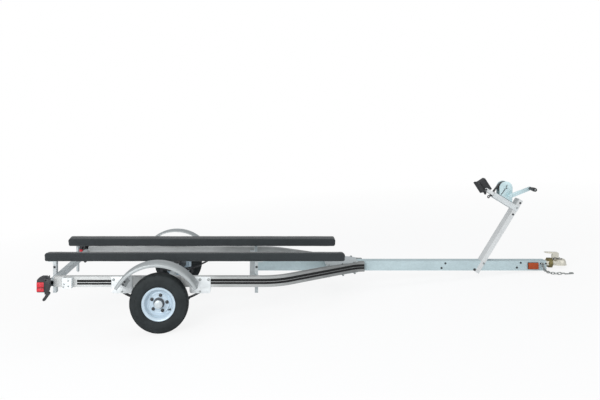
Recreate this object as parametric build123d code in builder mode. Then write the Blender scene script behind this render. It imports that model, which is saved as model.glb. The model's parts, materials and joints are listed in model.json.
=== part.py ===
from build123d import *
import os
from math import asin, atan2, cos, degrees, hypot, radians, sin, sqrt, tan

# Boat trailer for a small flat-bottomed boat, stored nose-down on its two wheels and the
# tip of its tongue.  Millimetres.  Every piece is drawn with the trailer level: X forward
# along the tongue, Y to the left, Z up from the ground, X = 0 at the axle.  The finished
# pieces are then tipped about the axle until the tongue's lower edge meets the ground, and
# moved so that the origin is at the middle of the footprint.

# ---------------------------------------------------------------- driving dimensions
# wheels, hubs and axle
tyre_radius = 210.0
tyre_width = 120.0
tread_width = 92.0
tyre_shoulder = 9.0
tyre_gap = 35.0
rim_radius = 101.6
rim_width = 95.0
rim_wall = 3.0
rim_flange = 16.4
lip_flare = 5.8
pan_depth = 15.0
disc_radius = 84.0
disc_offset = 10.0
disc_wall = 4.0
centre_bore = 39.0
lug_circle = 57.15
lug_nut = 11.0
lug_nut_height = 10.0
lug_count = 5
lug_turn = 80.0
hub_flange_radius = 68.0
hub_flange_wall = 8.0
hub_barrel = 29.0
hub_barrel_length = 84.0
cap_radius = 24.0
cap_reach = 16.0
spindle_radius = 14.0
axle_size = 40.0
running_gap = 0.3

# how many sides stand for a round one: wheels, the hubs and small drums, pins and eyes
wheel_sides = 48
drum_sides = 30
pin_sides = 12

# frame
rail_height = 76.0
rail_depth = 38.0
rail_wall = 3.0
rail_bottom = 295.0
rail_outer = 525.0
rail_rear = -775.0
rail_front = 1545.0
bend_angle = 35.0
rear_bend_radius = 350.0
front_bend_radius = 200.0
tongue_size = 76.0
tongue_wall = 4.0
tongue_front = 3000.0
member_depth = 38.0
member_height = 44.0
member_middle = 323.0
front_member_rear = 640.0
plate = 5.0
gusset_rear = 1230.0
gusset_front = 1495.0
gusset_rear_half = 225.0
gusset_front_half = 74.0
corner_front = -636.0
corner_length = 66.0
corner_reach = 44.0
corner_wall = 6.0

# springs, hangers and axle clamps
spring_width = 40.0
leaf_wall = 7.0
leaf_shares = (1.0, 0.7, 0.42)
spring_seat = 10.0
seat_length = 30.0
hanger_spread = 282.0
hanger_length = 152.0
hanger_wall = 5.0
hanger_drop = 44.0
hanger_corner = 16.0
eye_drop = 31.0
eye_radius = 13.0
eye_bolt = 6.0
clamp_bolt = 5.0
clamp_gap = 2.0

# fenders
fender_radius = 331.0
fender_drop = 43.0
fender_back = 17.0
fender_turn = 123.0
fender_sheet = 2.5
fender_inset = 23.0
fender_overhang = 6.0
fender_edge = 22.0
fender_roll = 9.0
fender_foot = 12.0
fender_foot_depth = 62.0

# bunks and their brackets
bunk_rear = -890.0
bunk_length = 2240.0
bunk_width = 96.0
bunk_wall = 62.0
bunk_line = 290.0
bunk_middle = 463.0
bunk_tilt = 6.0
bunk_edge = 9.0
bracket_x = 25.0
bracket_y = 46.0
bracket_line = 335.0
bracket_below = 101.0
saddle_length = 60.0

# winch post, arm and bow stop
post_lean = 31.5
post_foot_x = 2459.0
post_foot_z = 270.0
post_length = 677.0
post_flange = 34.0
post_wall = 4.0
post_hole = 5.5
arm_length = 224.0
arm_depth = 42.0
arm_drop = 98.0
bar_length = 112.0
bar_inside = 30.0
bar_depth = 26.0
bar_wall = 6.0
stop_neck = 28.0
stop_half_width = 60.0
stop_height = 102.0
stop_depth = 80.0
stop_notch = 22.0
stop_below = 22.0
stop_behind = 42.0
stop_edge = 12.0
stop_flare = 8.0
stop_pitch = 33.0
stop_bolt = 6.0

# winch
frame_half_gap = 32.0
frame_wall = 4.0
frame_radius = 52.0
frame_base_near = 67.0
frame_base_far = 182.0
drum_along = 167.5
drum_rise = 75.0
gear_module = 2.75
gear_teeth = 34
pinion_teeth = 11
tooth_top = 0.7
tooth_root = 0.95
tooth_tip_share = 0.1
tooth_base_share = 0.34
pinion_bearing = 38.2
gear_wall = 8.0
disc_wall_gap = 2.0
drum_core = 15.0
roll_radius = 51.0
strap_width = 42.0
strap_wall = 2.0
strap_hook_reach = 24.0
strap_hook_drop = 26.0
strap_hook_wall = 6.0
shaft_radius = 6.0
crank_length = 164.0
crank_width = 26.0
crank_wall = 6.0
crank_rise = 21.4
crank_line = 70.0
grip_radius = 14.0
grip_length = 102.0

# coupler, lamps and chains
shank_length = 70.0
coupler_bottom = 333.0
coupler_wall = 4.0
ball_forward = 120.0
ball_radius = 25.4
socket_gap = 0.6
socket_depth = 32.0
head_radius = 38.0
head_reach = 14.0
head_skirt = 24.0
head_dome = 26.0
head_taper = 34.0
collar_flats = 72.0
collar_length = 34.0
collar_forward = 22.0
lever_length = 108.0
lever_half_width = 15.0
lever_wall = 5.0
lever_rise = 66.0
marker_length = 84.0
marker_height = 54.0
marker_depth = 18.0
marker_back = 66.0
lamp_depth = 58.0
lamp_width = 114.0
lamp_bottom = 276.0
lens_height = 74.0
hood_height = 28.0
hood_forward = 40.0
lamp_arm_wall = 6.0
lamp_arm_low = 262.0
lamp_hook = 48.0
link_wire = 5.5
link_inner_length = 24.8
link_inner_width = 10.5
link_pitch = 24.0
link_lean = 67.5
chain_clearance = 0.4
anchor_bolt = 4.0
anchor_head = 8.0
hook_wall = 10.0
hook_length = 82.0
hook_width = 32.0
hook_return = 26.0

# ---------------------------------------------------------------- derived places
rail_top = rail_bottom + rail_height
rail_line = rail_outer - rail_depth / 2
rail_inner = rail_outer - rail_depth
frame_middle = rail_bottom + rail_height / 2
tongue_half = tongue_size / 2
tongue_bottom = frame_middle - tongue_half
tongue_top = frame_middle + tongue_half
tongue_rear = front_member_rear + member_depth
wheel_line = rail_outer + tyre_gap + tyre_width / 2
fender_inner = rail_outer + fender_inset
fender_outer = wheel_line + tyre_width / 2 + fender_overhang
axle_bottom = tyre_radius - axle_size / 2
spindle_out = hub_barrel_length / 2 - 8
hanger_outer = rail_outer + hanger_wall
hanger_inner = hanger_outer - spring_width - 2 * hanger_wall - 2 * clamp_gap
spring_line = (hanger_outer + hanger_inner) / 2
eye_height = rail_bottom - eye_drop
sides = (("left", 1), ("right", -1))

# the tongue's lower front edge comes down to the ground
tip_reach = hypot(tongue_front, tongue_bottom - tyre_radius)
tip_angle = atan2(tongue_bottom - tyre_radius, tongue_front) + asin(tyre_radius / tip_reach)
axle_centre = Location((0, 0, tyre_radius))
tipping = axle_centre * Location((0, 0, 0), (0, degrees(tip_angle), 0)) * axle_centre.inverse()


def span(side, near, far):
    """XZ drawing plane and depth that fill Y from near to far on one side of the trailer."""
    top = max(side * near, side * far)
    return Plane.XZ.offset(-top), abs(far - near)


def outline(*points):
    """Closed outline through the points, as a face in the sketch that is open."""
    with BuildLine() as line:
        Polyline(*points, close=True)
    make_face(line.edges())


# ---------------------------------------------------------------- frame
def make_rail(side):
    """Main rail: rectangular tube, straight past the wheel and bent in to the tongue."""
    front_line = tongue_half + rail_depth / 2
    bend = radians(bend_angle)
    arcs_reach = (rear_bend_radius + front_bend_radius) * sin(bend)
    arcs_shift = (rear_bend_radius + front_bend_radius) * (1 - cos(bend))
    slant = (rail_line - front_line - arcs_shift) / sin(bend)
    bend_start = rail_front - arcs_reach - slant * cos(bend)
    rear_corner = bend_start + rear_bend_radius * tan(bend / 2)
    front_corner = rail_front - front_bend_radius * tan(bend / 2)
    with BuildPart() as rail:
        with BuildLine():
            FilletPolyline(
                (rail_rear, side * rail_line, frame_middle),
                (rear_corner, side * rail_line, frame_middle),
                (front_corner, side * front_line, frame_middle),
                (rail_front + 1, side * front_line, frame_middle),
                radius=(rear_bend_radius, front_bend_radius),
            )
        with BuildSketch(Plane((rail_rear, side * rail_line, frame_middle), x_dir=(0, 1, 0), z_dir=(1, 0, 0))):
            Rectangle(rail_depth, rail_height)
            Rectangle(rail_depth - 2 * rail_wall, rail_height - 2 * rail_wall, mode=Mode.SUBTRACT)
        sweep()
    return rail.part


def make_tongue():
    """Square tongue tube, open at the front where the coupler's shank enters."""
    with BuildPart() as tongue:
        with BuildSketch(Plane.YZ.offset(tongue_rear)):
            with Locations((0, frame_middle)):
                Rectangle(tongue_size, tongue_size)
                Rectangle(tongue_size - 2 * tongue_wall, tongue_size - 2 * tongue_wall, mode=Mode.SUBTRACT)
        extrude(amount=tongue_front - tongue_rear)
    return tongue.part


def make_member(rear, half_length):
    """Crossmember: rectangular tube across the trailer."""
    with BuildPart() as member:
        with BuildSketch(Plane.XZ.offset(-half_length)):
            with Locations((rear + member_depth / 2, member_middle)):
                Rectangle(member_depth, member_height)
                Rectangle(member_depth - 2 * rail_wall, member_height - 2 * rail_wall, mode=Mode.SUBTRACT)
        extrude(amount=2 * half_length)
    return member.part


def make_gusset(bottom):
    """Flat plate that ties both rails to the tongue, lying at the given height."""
    with BuildPart() as gusset:
        with BuildSketch(Plane.XY.offset(bottom)):
            outline(
                (gusset_rear, -gusset_rear_half),
                (gusset_front, -gusset_front_half),
                (gusset_front, gusset_front_half),
                (gusset_rear, gusset_rear_half),
            )
        extrude(amount=plate)
    return gusset.part


def make_corner(side):
    """Channel bracket on the rail's outer face near its rear end, open toward the rail."""
    rear = corner_front - corner_length
    with BuildPart() as corner:
        with BuildSketch(Plane.XY.offset(rail_bottom)):
            outline(
                (rear, side * rail_outer),
                (rear, side * (rail_outer + corner_reach)),
                (corner_front, side * (rail_outer + corner_reach)),
                (corner_front, side * rail_outer),
                (corner_front - corner_wall, side * rail_outer),
                (corner_front - corner_wall, side * (rail_outer + corner_reach - corner_wall)),
                (rear + corner_wall, side * (rail_outer + corner_reach - corner_wall)),
                (rear + corner_wall, side * rail_outer),
            )
        extrude(amount=rail_height)
    return corner.part


# ---------------------------------------------------------------- axle and springs
def make_axle():
    """Square axle tube with a round spindle at each end."""
    tube_end = wheel_line - hub_barrel_length / 2 - 12
    spindle_end = wheel_line + spindle_out
    with BuildPart() as axle:
        with BuildSketch(Plane.XZ.offset(-tube_end)):
            with Locations((0, tyre_radius)):
                Rectangle(axle_size, axle_size)
        extrude(amount=2 * tube_end)
        with BuildSketch(Plane.XZ.offset(-spindle_end)):
            with Locations((0, tyre_radius)):
                Circle(spindle_radius)
        extrude(amount=2 * spindle_end)
    return axle.part


def make_spring(side):
    """Leaf spring slung under the axle: a main leaf with two eyes and two shorter leaves."""
    low = axle_bottom - spring_seat - leaf_wall / 2
    rise = eye_height - eye_radius + leaf_wall / 2 - low
    arc_radius = (hanger_spread**2 + rise**2) / (2 * rise)
    centre = low + arc_radius
    half_turn = asin(hanger_spread / arc_radius)
    edge = spring_line - spring_width / 2
    plane, depth = span(side, edge, edge + spring_width)
    with BuildPart() as spring:
        with BuildSketch(plane):
            for number, share in enumerate(leaf_shares):
                inner = arc_radius - leaf_wall / 2 + number * leaf_wall
                reach = degrees(half_turn) * share
                with BuildLine():
                    near = CenterArc((0, centre), inner, 270 - reach, 2 * reach)
                    far = CenterArc((0, centre), inner + leaf_wall, 270 - reach, 2 * reach)
                    Line(near @ 0, far @ 0)
                    Line(near @ 1, far @ 1)
                make_face()
            with Locations((-hanger_spread, eye_height), (hanger_spread, eye_height)):
                RegularPolygon(eye_radius, pin_sides)
                RegularPolygon(eye_bolt + running_gap, pin_sides, mode=Mode.SUBTRACT)
        extrude(amount=depth)
    return spring.part


def make_hanger(side, middle):
    """Spring hanger: plate on the rail's outer face, web under the rail and two ears."""
    half = hanger_length / 2
    ear_bottom = rail_bottom - hanger_drop
    web_low = rail_bottom - hanger_wall
    with BuildPart() as hanger:
        for near, far, top in (
            (hanger_outer - hanger_wall, hanger_outer, rail_top),
            (hanger_inner, hanger_inner + hanger_wall, rail_bottom),
        ):
            plane, depth = span(side, near, far)
            with BuildSketch(plane):
                outline(
                    (middle - half, top),
                    (middle - half, ear_bottom + hanger_corner),
                    (middle - half + hanger_corner, ear_bottom),
                    (middle + half - hanger_corner, ear_bottom),
                    (middle + half, ear_bottom + hanger_corner),
                    (middle + half, top),
                )
            extrude(amount=depth)
        plane, depth = span(side, hanger_inner, hanger_outer)
        with BuildSketch(plane):
            outline(
                (middle - half, web_low),
                (middle - half, rail_bottom),
                (middle + half, rail_bottom),
                (middle + half, web_low),
            )
        extrude(amount=depth)
        with BuildSketch(plane):
            with Locations((middle, eye_height)):
                RegularPolygon(eye_bolt, pin_sides)
        extrude(amount=depth)
    return hanger.part


def make_clamp(side):
    """Axle clamp: seat block, plate under the spring and two U-bolts over the axle."""
    spring_top = axle_bottom - spring_seat
    spring_bottom = spring_top - leaf_wall * len(leaf_shares)
    half = axle_size / 2 + clamp_bolt + running_gap
    bolt_line = spring_width / 2 + clamp_bolt + running_gap
    plate_half = half + 2 * clamp_bolt
    plate_side = bolt_line + 2 * clamp_bolt
    with BuildPart() as clamp:
        with Locations((0, side * spring_line, axle_bottom - (spring_seat - running_gap) / 2)):
            Box(seat_length, spring_width, spring_seat - running_gap)
        with Locations((0, side * spring_line, spring_bottom - plate / 2)):
            Box(2 * plate_half, 2 * plate_side, plate)
        for bolt in (-1, 1):
            y = side * spring_line + bolt * bolt_line
            top = tyre_radius + axle_size / 2 + clamp_bolt + running_gap
            with BuildLine():
                Polyline(
                    (-half, y, spring_bottom - 3 * plate),
                    (-half, y, top),
                    (half, y, top),
                    (half, y, spring_bottom - 3 * plate),
                )
            with BuildSketch(Plane((-half, y, spring_bottom - 3 * plate))):
                RegularPolygon(clamp_bolt, pin_sides)
            sweep(transition=Transition.RIGHT)
    return clamp.part


# ---------------------------------------------------------------- wheels
def turned(side, count, *section):
    """Solid turned about the axle in flat steps, from a closed section of (outboard, radius) corners."""
    turns = [radians(360 * number / count) for number in range(count)]
    rings = [
        [(radius * cos(turn), side * (wheel_line + out), tyre_radius + radius * sin(turn)) for turn in turns]
        for out, radius in section
    ]
    faces = []
    for near, far in zip(rings, rings[1:] + rings[:1]):
        for this in range(count):
            # on the axis a step's corners fall together, and the step has three corners or none
            corners = list(dict.fromkeys((near[this], far[this], far[this - 1], near[this - 1])))
            if len(corners) > 2:
                faces.append(Face(Wire.make_polygon(corners)))
    return Solid(Shell(faces))


def make_tyre(side):
    """Tyre: rounded tread and walls, a cone down to the bead at each side, hollow over the rim."""
    half = tyre_width / 2
    tread = tread_width / 2
    seat = rim_width / 2 - lip_flare
    # the bead follows the slope of the rim's lip as far as the tyre's widest line
    wall_radius = rim_radius + rim_flange * (half - seat) / lip_flare
    shoulder_radius = tyre_radius - tyre_shoulder
    return turned(
        side,
        wheel_sides,
        (-seat, rim_radius),
        (-half, wall_radius),
        (-tread, shoulder_radius),
        (-tread / 2, tyre_radius),
        (tread / 2, tyre_radius),
        (tread, shoulder_radius),
        (half, wall_radius),
        (seat, rim_radius),
    )


def make_wheel(side):
    """Pressed-steel wheel: rim with flared lips, dished disc with a bore, and its lug nuts."""
    half = rim_width / 2
    lip = half - lip_flare
    flange = rim_radius + rim_flange
    inside = rim_radius - rim_wall
    disc_back = disc_offset - disc_wall
    with BuildPart() as wheel:
        add(
            turned(
                side,
                wheel_sides,
                (-half, flange),
                (-lip, rim_radius),
                (lip, rim_radius),
                (half, flange),
                (lip - rim_wall, inside),
                (disc_offset + pan_depth, inside),
                (disc_offset, disc_radius),
                (disc_offset, centre_bore),
                (disc_back, centre_bore),
                (disc_back, inside),
                (-half, inside),
            )
        )
        with BuildSketch(Plane.XZ.offset(-side * (wheel_line + disc_offset))):
            with Locations((0, tyre_radius)):
                with PolarLocations(lug_circle, lug_count, start_angle=lug_turn):
                    RegularPolygon(lug_nut, 6)
        extrude(amount=-side * lug_nut_height)
    return wheel.part


def make_hub(side):
    """Hub: flange against the disc's inner face, barrel on the spindle and a domed cap."""
    flange_out = disc_offset - disc_wall
    flange_in = flange_out - hub_flange_wall
    barrel_in = -hub_barrel_length / 2
    cap_base = spindle_out + running_gap + 2
    with BuildPart() as hub:
        add(
            turned(
                side,
                drum_sides,
                (barrel_in, 0),
                (barrel_in, hub_barrel),
                (flange_in, hub_barrel),
                (flange_in, hub_flange_radius),
                (flange_out, hub_flange_radius),
                (flange_out, hub_barrel),
                (cap_base, cap_radius),
                (cap_base + cap_reach, cap_radius * 0.75),
                (cap_base + cap_reach, 0),
            )
        )
        with BuildSketch(Plane.XZ.offset(-side * (wheel_line + barrel_in))):
            with Locations((0, tyre_radius)):
                Circle(spindle_radius + running_gap)
        extrude(amount=side * (barrel_in - spindle_out - running_gap), mode=Mode.SUBTRACT)
    return hub.part


# ---------------------------------------------------------------- fenders
def make_fender(side):
    """Open fender: a rolled arch over the tyre, with a foot against each hanger's plate."""
    inside = fender_radius - fender_sheet
    lip_low = fender_radius - fender_edge
    centre = (-fender_back, tyre_radius - fender_drop)
    across = Axis((-fender_back, 0, tyre_radius - fender_drop), (0, 1, 0))
    # section columns: distance from the trailer's middle, radius about the fender's own centre
    section = (
        (fender_inner, inside),
        (fender_inner, fender_radius),
        (fender_outer - fender_roll, fender_radius),
        (fender_outer, fender_radius - fender_roll),
        (fender_outer, lip_low),
        (fender_outer - fender_sheet, lip_low),
        (fender_outer - fender_sheet, inside - fender_roll),
        (fender_outer - fender_sheet - fender_roll, inside),
    )
    with BuildPart() as arch:
        with BuildSketch(Plane.YZ.offset(-fender_back)):
            outline(*[(side * y, centre[1] + radius) for y, radius in section])
        revolve(axis=across, revolution_arc=fender_turn)
    turned_arch = arch.part.rotate(across, -fender_turn / 2)
    with BuildPart() as fender:
        add(turned_arch)
        for end in (90 - fender_turn / 2, 90 + fender_turn / 2 - fender_foot):
            # strap columns: where it ends across the trailer, how deep it is below the arch
            for far, depth_below in ((fender_inner, fender_sheet), (hanger_outer + fender_sheet, fender_foot_depth)):
                plane, depth = span(side, hanger_outer, far)
                with BuildSketch(plane):
                    with BuildLine():
                        top = CenterArc(centre, fender_radius, end, fender_foot)
                        low = CenterArc(centre, fender_radius - depth_below, end, fender_foot)
                        Line(top @ 0, low @ 0)
                        Line(top @ 1, low @ 1)
                    make_face()
                extrude(amount=depth)
    return fender.part


# ---------------------------------------------------------------- bunks
def bunk_plane(side):
    """Middle of the bunk's section, tilted so that its inner edge is the lower one."""
    tilt = radians(bunk_tilt) * side
    return Plane((0, side * bunk_line, bunk_middle), x_dir=(0, cos(tilt), sin(tilt)), z_dir=(1, 0, 0))


def make_bunk(side):
    """Carpeted bunk board: long section with broken corners, laid nearly flat."""
    with BuildPart() as bunk:
        with BuildSketch(bunk_plane(side).offset(bunk_rear)):
            board = Rectangle(bunk_width, bunk_wall)
            chamfer(board.vertices(), length=bunk_edge)
        extrude(amount=bunk_length)
        chamfer(bunk.faces().sort_by(Axis.X)[-1].edges(), length=bunk_edge / 2)
        chamfer(bunk.faces().sort_by(Axis.X)[0].edges(), length=bunk_edge / 2)
    return bunk.part


def make_bracket(side, face, direction):
    """Angle-iron upright on a crossmember's face, cut to the bunk, with a saddle plate on top."""
    low = member_middle - member_height / 2 - bracket_below
    under = bunk_plane(side).offset(face)
    bunk_base = Plane(under.origin, x_dir=under.x_dir, z_dir=under.y_dir).offset(-bunk_wall / 2)
    with BuildPart() as bracket:
        with BuildSketch(Plane.XY.offset(low)):
            outline(
                (face, side * bracket_line),
                (face + direction * bracket_x, side * bracket_line),
                (face + direction * bracket_x, side * (bracket_line - plate)),
                (face + direction * plate, side * (bracket_line - plate)),
                (face + direction * plate, side * (bracket_line - bracket_y)),
                (face, side * (bracket_line - bracket_y)),
            )
        extrude(amount=bunk_middle - low)
        split(bisect_by=bunk_base, keep=Keep.BOTTOM)
        with BuildSketch(bunk_base.offset(-plate)):
            with Locations((side * (bracket_line - bracket_y / 2 - bunk_line), -direction * saddle_length / 2)):
                Rectangle(bracket_y, saddle_length)
        extrude(amount=plate)
    return bracket.part


# ---------------------------------------------------------------- winch post, arm and bow stop
lean = radians(post_lean)
along_post = Vector(sin(lean), 0, cos(lean))
along_arm = Vector(-cos(lean), 0, sin(lean))
post_foot = Vector(post_foot_x, 0, post_foot_z)
post_half = tongue_half + post_wall
arm_half = post_half + post_wall
arm_root = post_foot + along_post * (post_length - arm_drop)
# the post's own drawing plane: x along the arm, y up the post, normal toward +Y
post_plane = Plane(post_foot, x_dir=along_arm, z_dir=(0, 1, 0))
arm_plane = Plane(arm_root, x_dir=along_arm, z_dir=(0, 1, 0))


def make_post():
    """Winch post: raked channel, its two flanges astride the tongue and its web cut above it."""
    with BuildPart() as post:
        with BuildSketch(Plane(post_foot, x_dir=along_arm, z_dir=along_post)):
            with Locations((post_flange / 2, 0)):
                Rectangle(post_flange, 2 * post_half)
            with Locations(((post_flange - post_wall) / 2, 0)):
                Rectangle(post_flange - post_wall, 2 * tongue_half, mode=Mode.SUBTRACT)
        extrude(amount=post_length)
        with Locations((post_foot_x, 0, tongue_top - tongue_size)):
            Box(8 * post_flange, 2 * tongue_half, 2 * tongue_size, mode=Mode.SUBTRACT)
        with BuildSketch(post_plane):
            with Locations((post_flange / 2, post_length - 22), (post_flange / 2, post_length - 130)):
                RegularPolygon(post_hole, pin_sides)
        extrude(amount=2 * post_half, both=True, mode=Mode.SUBTRACT)
    return post.part


def make_arm():
    """Winch arm: channel astride the post, square to it, with its web on top."""
    with BuildPart() as arm:
        with BuildSketch(Plane(arm_root, x_dir=along_post, z_dir=along_arm)):
            with Locations((arm_depth / 2, 0)):
                Rectangle(arm_depth, 2 * arm_half)
            with Locations(((arm_depth - post_wall) / 2, 0)):
                Rectangle(arm_depth - post_wall, 2 * post_half, mode=Mode.SUBTRACT)
        extrude(amount=arm_length)
        with BuildSketch(Plane(post_foot, x_dir=along_arm, z_dir=along_post)):
            with Locations((post_flange / 2, 0)):
                Rectangle(post_flange, 2 * post_half)
        extrude(amount=post_length, mode=Mode.SUBTRACT)
    return arm.part


bar_low = arm_depth - post_wall - bar_depth
bar_end = arm_length + bar_length - bar_inside
stop_pin = (bar_end - bar_depth / 2, bar_low + bar_depth / 2)


def make_bar():
    """Pair of flat bars on edge under the arm's web, with the bolt that holds the bow stop."""
    with BuildPart() as bar:
        for side in (-1, 1):
            low = min(side * (stop_neck + running_gap), side * (stop_neck + running_gap + bar_wall))
            with BuildSketch(arm_plane.offset(low)):
                with Locations(stop_pin):
                    RegularPolygon(bar_depth / 2, pin_sides)
                with Locations(((arm_length - bar_inside + stop_pin[0]) / 2, stop_pin[1])):
                    Rectangle(stop_pin[0] - arm_length + bar_inside, bar_depth)
            extrude(amount=bar_wall)
        with BuildSketch(arm_plane.offset(-stop_neck - running_gap - bar_wall)):
            with Locations(stop_pin):
                RegularPolygon(stop_bolt, pin_sides)
        extrude(amount=2 * (stop_neck + running_gap + bar_wall))
    return bar.part


def make_stop():
    """Bow stop: a block on a neck between the bars, with a V notch toward the boat."""
    pitch = radians(stop_pitch)
    toward_boat = Vector(-cos(pitch), 0, -sin(pitch))
    stop_up = Vector(-sin(pitch), 0, cos(pitch))
    pin = arm_root + along_arm * stop_pin[0] + along_post * stop_pin[1]
    corner = pin - stop_up * stop_below - toward_boat * stop_behind
    shoulder = stop_behind + bar_depth / 2 + 2
    with BuildPart() as stop:
        with BuildSketch(Plane(corner, x_dir=toward_boat, z_dir=stop_up)):
            outline(
                (0, -stop_neck),
                (0, stop_neck),
                (shoulder, stop_neck),
                (shoulder + stop_flare, stop_half_width),
                (stop_depth, stop_half_width),
                (stop_depth, stop_half_width - stop_edge),
                (stop_depth - stop_notch, 0),
                (stop_depth, -stop_half_width + stop_edge),
                (stop_depth, -stop_half_width),
                (shoulder + stop_flare, -stop_half_width),
                (shoulder, -stop_neck),
            )
        extrude(amount=stop_height)
        with BuildSketch(arm_plane):
            with Locations(stop_pin):
                RegularPolygon(stop_bolt + running_gap, pin_sides)
        extrude(amount=2 * stop_neck, both=True, mode=Mode.SUBTRACT)
    return stop.part


# ---------------------------------------------------------------- winch
drum_place = (drum_along, arm_depth + drum_rise)
gear_line = -frame_half_gap + disc_wall_gap + gear_wall / 2
gear_radius = gear_module * gear_teeth / 2
pinion_radius = gear_module * pinion_teeth / 2
gear_reach = gear_radius + pinion_radius
pinion_place = (
    drum_place[0] - gear_reach * cos(radians(pinion_bearing)),
    drum_place[1] - gear_reach * sin(radians(pinion_bearing)),
)


def gear_outline(place, teeth, bearing):
    """Toothed outline about a place in the open sketch, with a tooth's middle at the bearing."""
    # tooth columns: height above the pitch circle in modules, place along the tooth's pitch
    tooth = (
        (-tooth_root, -tooth_base_share),
        (tooth_top, -tooth_tip_share),
        (tooth_top, tooth_tip_share),
        (-tooth_root, tooth_base_share),
    )
    corners = []
    for number in range(teeth):
        for height, share in tooth:
            radius = gear_module * (teeth / 2 + height)
            turn = radians(bearing + 360 * (number + share) / teeth)
            corners.append((place[0] + radius * cos(turn), place[1] + radius * sin(turn)))
    outline(*corners)


def make_frame():
    """Winch frame: two round-topped side plates on a base plate, with the drum's shaft."""
    outside = frame_half_gap + frame_wall
    base_middle = (frame_base_near + frame_base_far) / 2
    with BuildPart() as frame:
        for low in (-outside, frame_half_gap):
            with BuildSketch(arm_plane.offset(low)):
                with Locations(drum_place):
                    RegularPolygon(frame_radius, drum_sides)
                with Locations((base_middle, arm_depth + frame_wall / 2)):
                    Rectangle(frame_base_far - frame_base_near, frame_wall)
                make_hull()
                with Locations(pinion_place):
                    RegularPolygon(
                        shaft_radius + running_gap, pin_sides, major_radius=False, mode=Mode.SUBTRACT
                    )
            extrude(amount=frame_wall)
        with BuildSketch(arm_plane.offset(-outside)):
            with Locations((base_middle, arm_depth + frame_wall / 2)):
                Rectangle(frame_base_far - frame_base_near, frame_wall)
        extrude(amount=2 * outside)
        with BuildSketch(arm_plane.offset(-outside)):
            with Locations(drum_place):
                Circle(shaft_radius)
        extrude(amount=2 * outside)
    return frame.part


def make_drum():
    """Winch drum: core on the fixed shaft, the big gear on one end and a disc on the other."""
    inside = frame_half_gap - disc_wall_gap
    with BuildPart() as drum:
        with BuildSketch(arm_plane.offset(-inside)):
            gear_outline(drum_place, gear_teeth, 180 + pinion_bearing)
        extrude(amount=gear_wall)
        for low, radius in ((-inside, drum_core), (inside - frame_wall, gear_radius)):
            with BuildSketch(arm_plane.offset(low)):
                with Locations(drum_place):
                    RegularPolygon(radius, drum_sides)
            extrude(amount=inside - low)
        with BuildSketch(arm_plane.offset(-inside)):
            with Locations(drum_place):
                Circle(shaft_radius + running_gap)
        extrude(amount=2 * inside, mode=Mode.SUBTRACT)
    return drum.part


strap_low = -frame_half_gap + disc_wall_gap + gear_wall + 1


def make_roll():
    """Strap wound on the drum, as one closed roll."""
    with BuildPart() as roll:
        with BuildSketch(arm_plane.offset(strap_low)):
            with Locations(drum_place):
                RegularPolygon(roll_radius, drum_sides)
                RegularPolygon(drum_core, drum_sides, mode=Mode.SUBTRACT)
        extrude(amount=strap_width)
    return roll.part


def make_strap():
    """Strap's free run from the roll over the arm's end to its hook."""
    near = drum_along + roll_radius + running_gap
    far = arm_length + running_gap
    rise = drum_place[1]
    with BuildPart() as strap:
        with BuildSketch(arm_plane.offset(strap_low)):
            outline(
                (near, rise),
                (near + strap_wall, rise),
                (far + strap_wall + 3, arm_depth),
                (far + strap_wall, 4),
                (far, 4),
                (far, arm_depth),
            )
        extrude(amount=strap_width)
    return strap.part


def make_strap_hook():
    """Hook on the strap's end: a flat plate bent back under the arm's tip."""
    root = arm_length + running_gap
    outside = root + strap_hook_reach
    with BuildPart() as hook:
        with BuildSketch(arm_plane.offset(strap_low + strap_width / 4)):
            outline(
                (root, 3.7),
                (root, -strap_hook_drop),
                (outside, -strap_hook_drop),
                (outside, 0),
                (outside - strap_hook_wall, 0),
                (outside - strap_hook_wall, strap_hook_wall - strap_hook_drop),
                (root + strap_hook_wall, strap_hook_wall - strap_hook_drop),
                (root + strap_hook_wall, 3.7),
            )
        extrude(amount=strap_width / 2)
    return hook.part


def make_crank():
    """Crank: shaft through both plates, the pinion between them and the flat arm outside."""
    outside = frame_half_gap + frame_wall
    low = -crank_line - crank_wall
    with BuildPart() as crank:
        with BuildSketch(arm_plane.offset(low)):
            with Locations(pinion_place):
                Circle(shaft_radius)
        extrude(amount=outside + 6 - low)
        with BuildSketch(arm_plane.offset(gear_line - gear_wall / 2)):
            gear_outline(pinion_place, pinion_teeth, pinion_bearing + 180 / pinion_teeth)
        extrude(amount=gear_wall)
        with BuildSketch(crank_plane().offset(low)):
            with Locations((0, 0), (crank_length, 0)):
                RegularPolygon(crank_width / 2, pin_sides)
            make_hull()
        extrude(amount=crank_wall)
    return crank.part


def crank_plane():
    """Plane on the crank's pivot with x along the crank's arm and its normal toward +Y."""
    pivot = arm_plane.from_local_coords(Vector(pinion_place[0], pinion_place[1], 0))
    rise = radians(crank_rise)
    return Plane(pivot, x_dir=(cos(rise), 0, sin(rise)), z_dir=(0, 1, 0))


def make_grip():
    """Crank's grip, a turned handle that points away from the winch."""
    base = -crank_line - crank_wall
    with BuildPart() as grip:
        with BuildSketch(crank_plane().offset(base - grip_length)):
            with Locations((crank_length, 0)):
                RegularPolygon(grip_radius, drum_sides)
        extrude(amount=grip_length)
        chamfer(grip.faces().sort_by(Axis.Y)[0].edges(), length=4)
    return grip.part


# ---------------------------------------------------------------- coupler
neck_half = tongue_half - tongue_wall - running_gap
neck_top = tongue_top - tongue_wall - running_gap
neck_height = neck_top - coupler_bottom
ball_x = tongue_front + ball_forward


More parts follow.
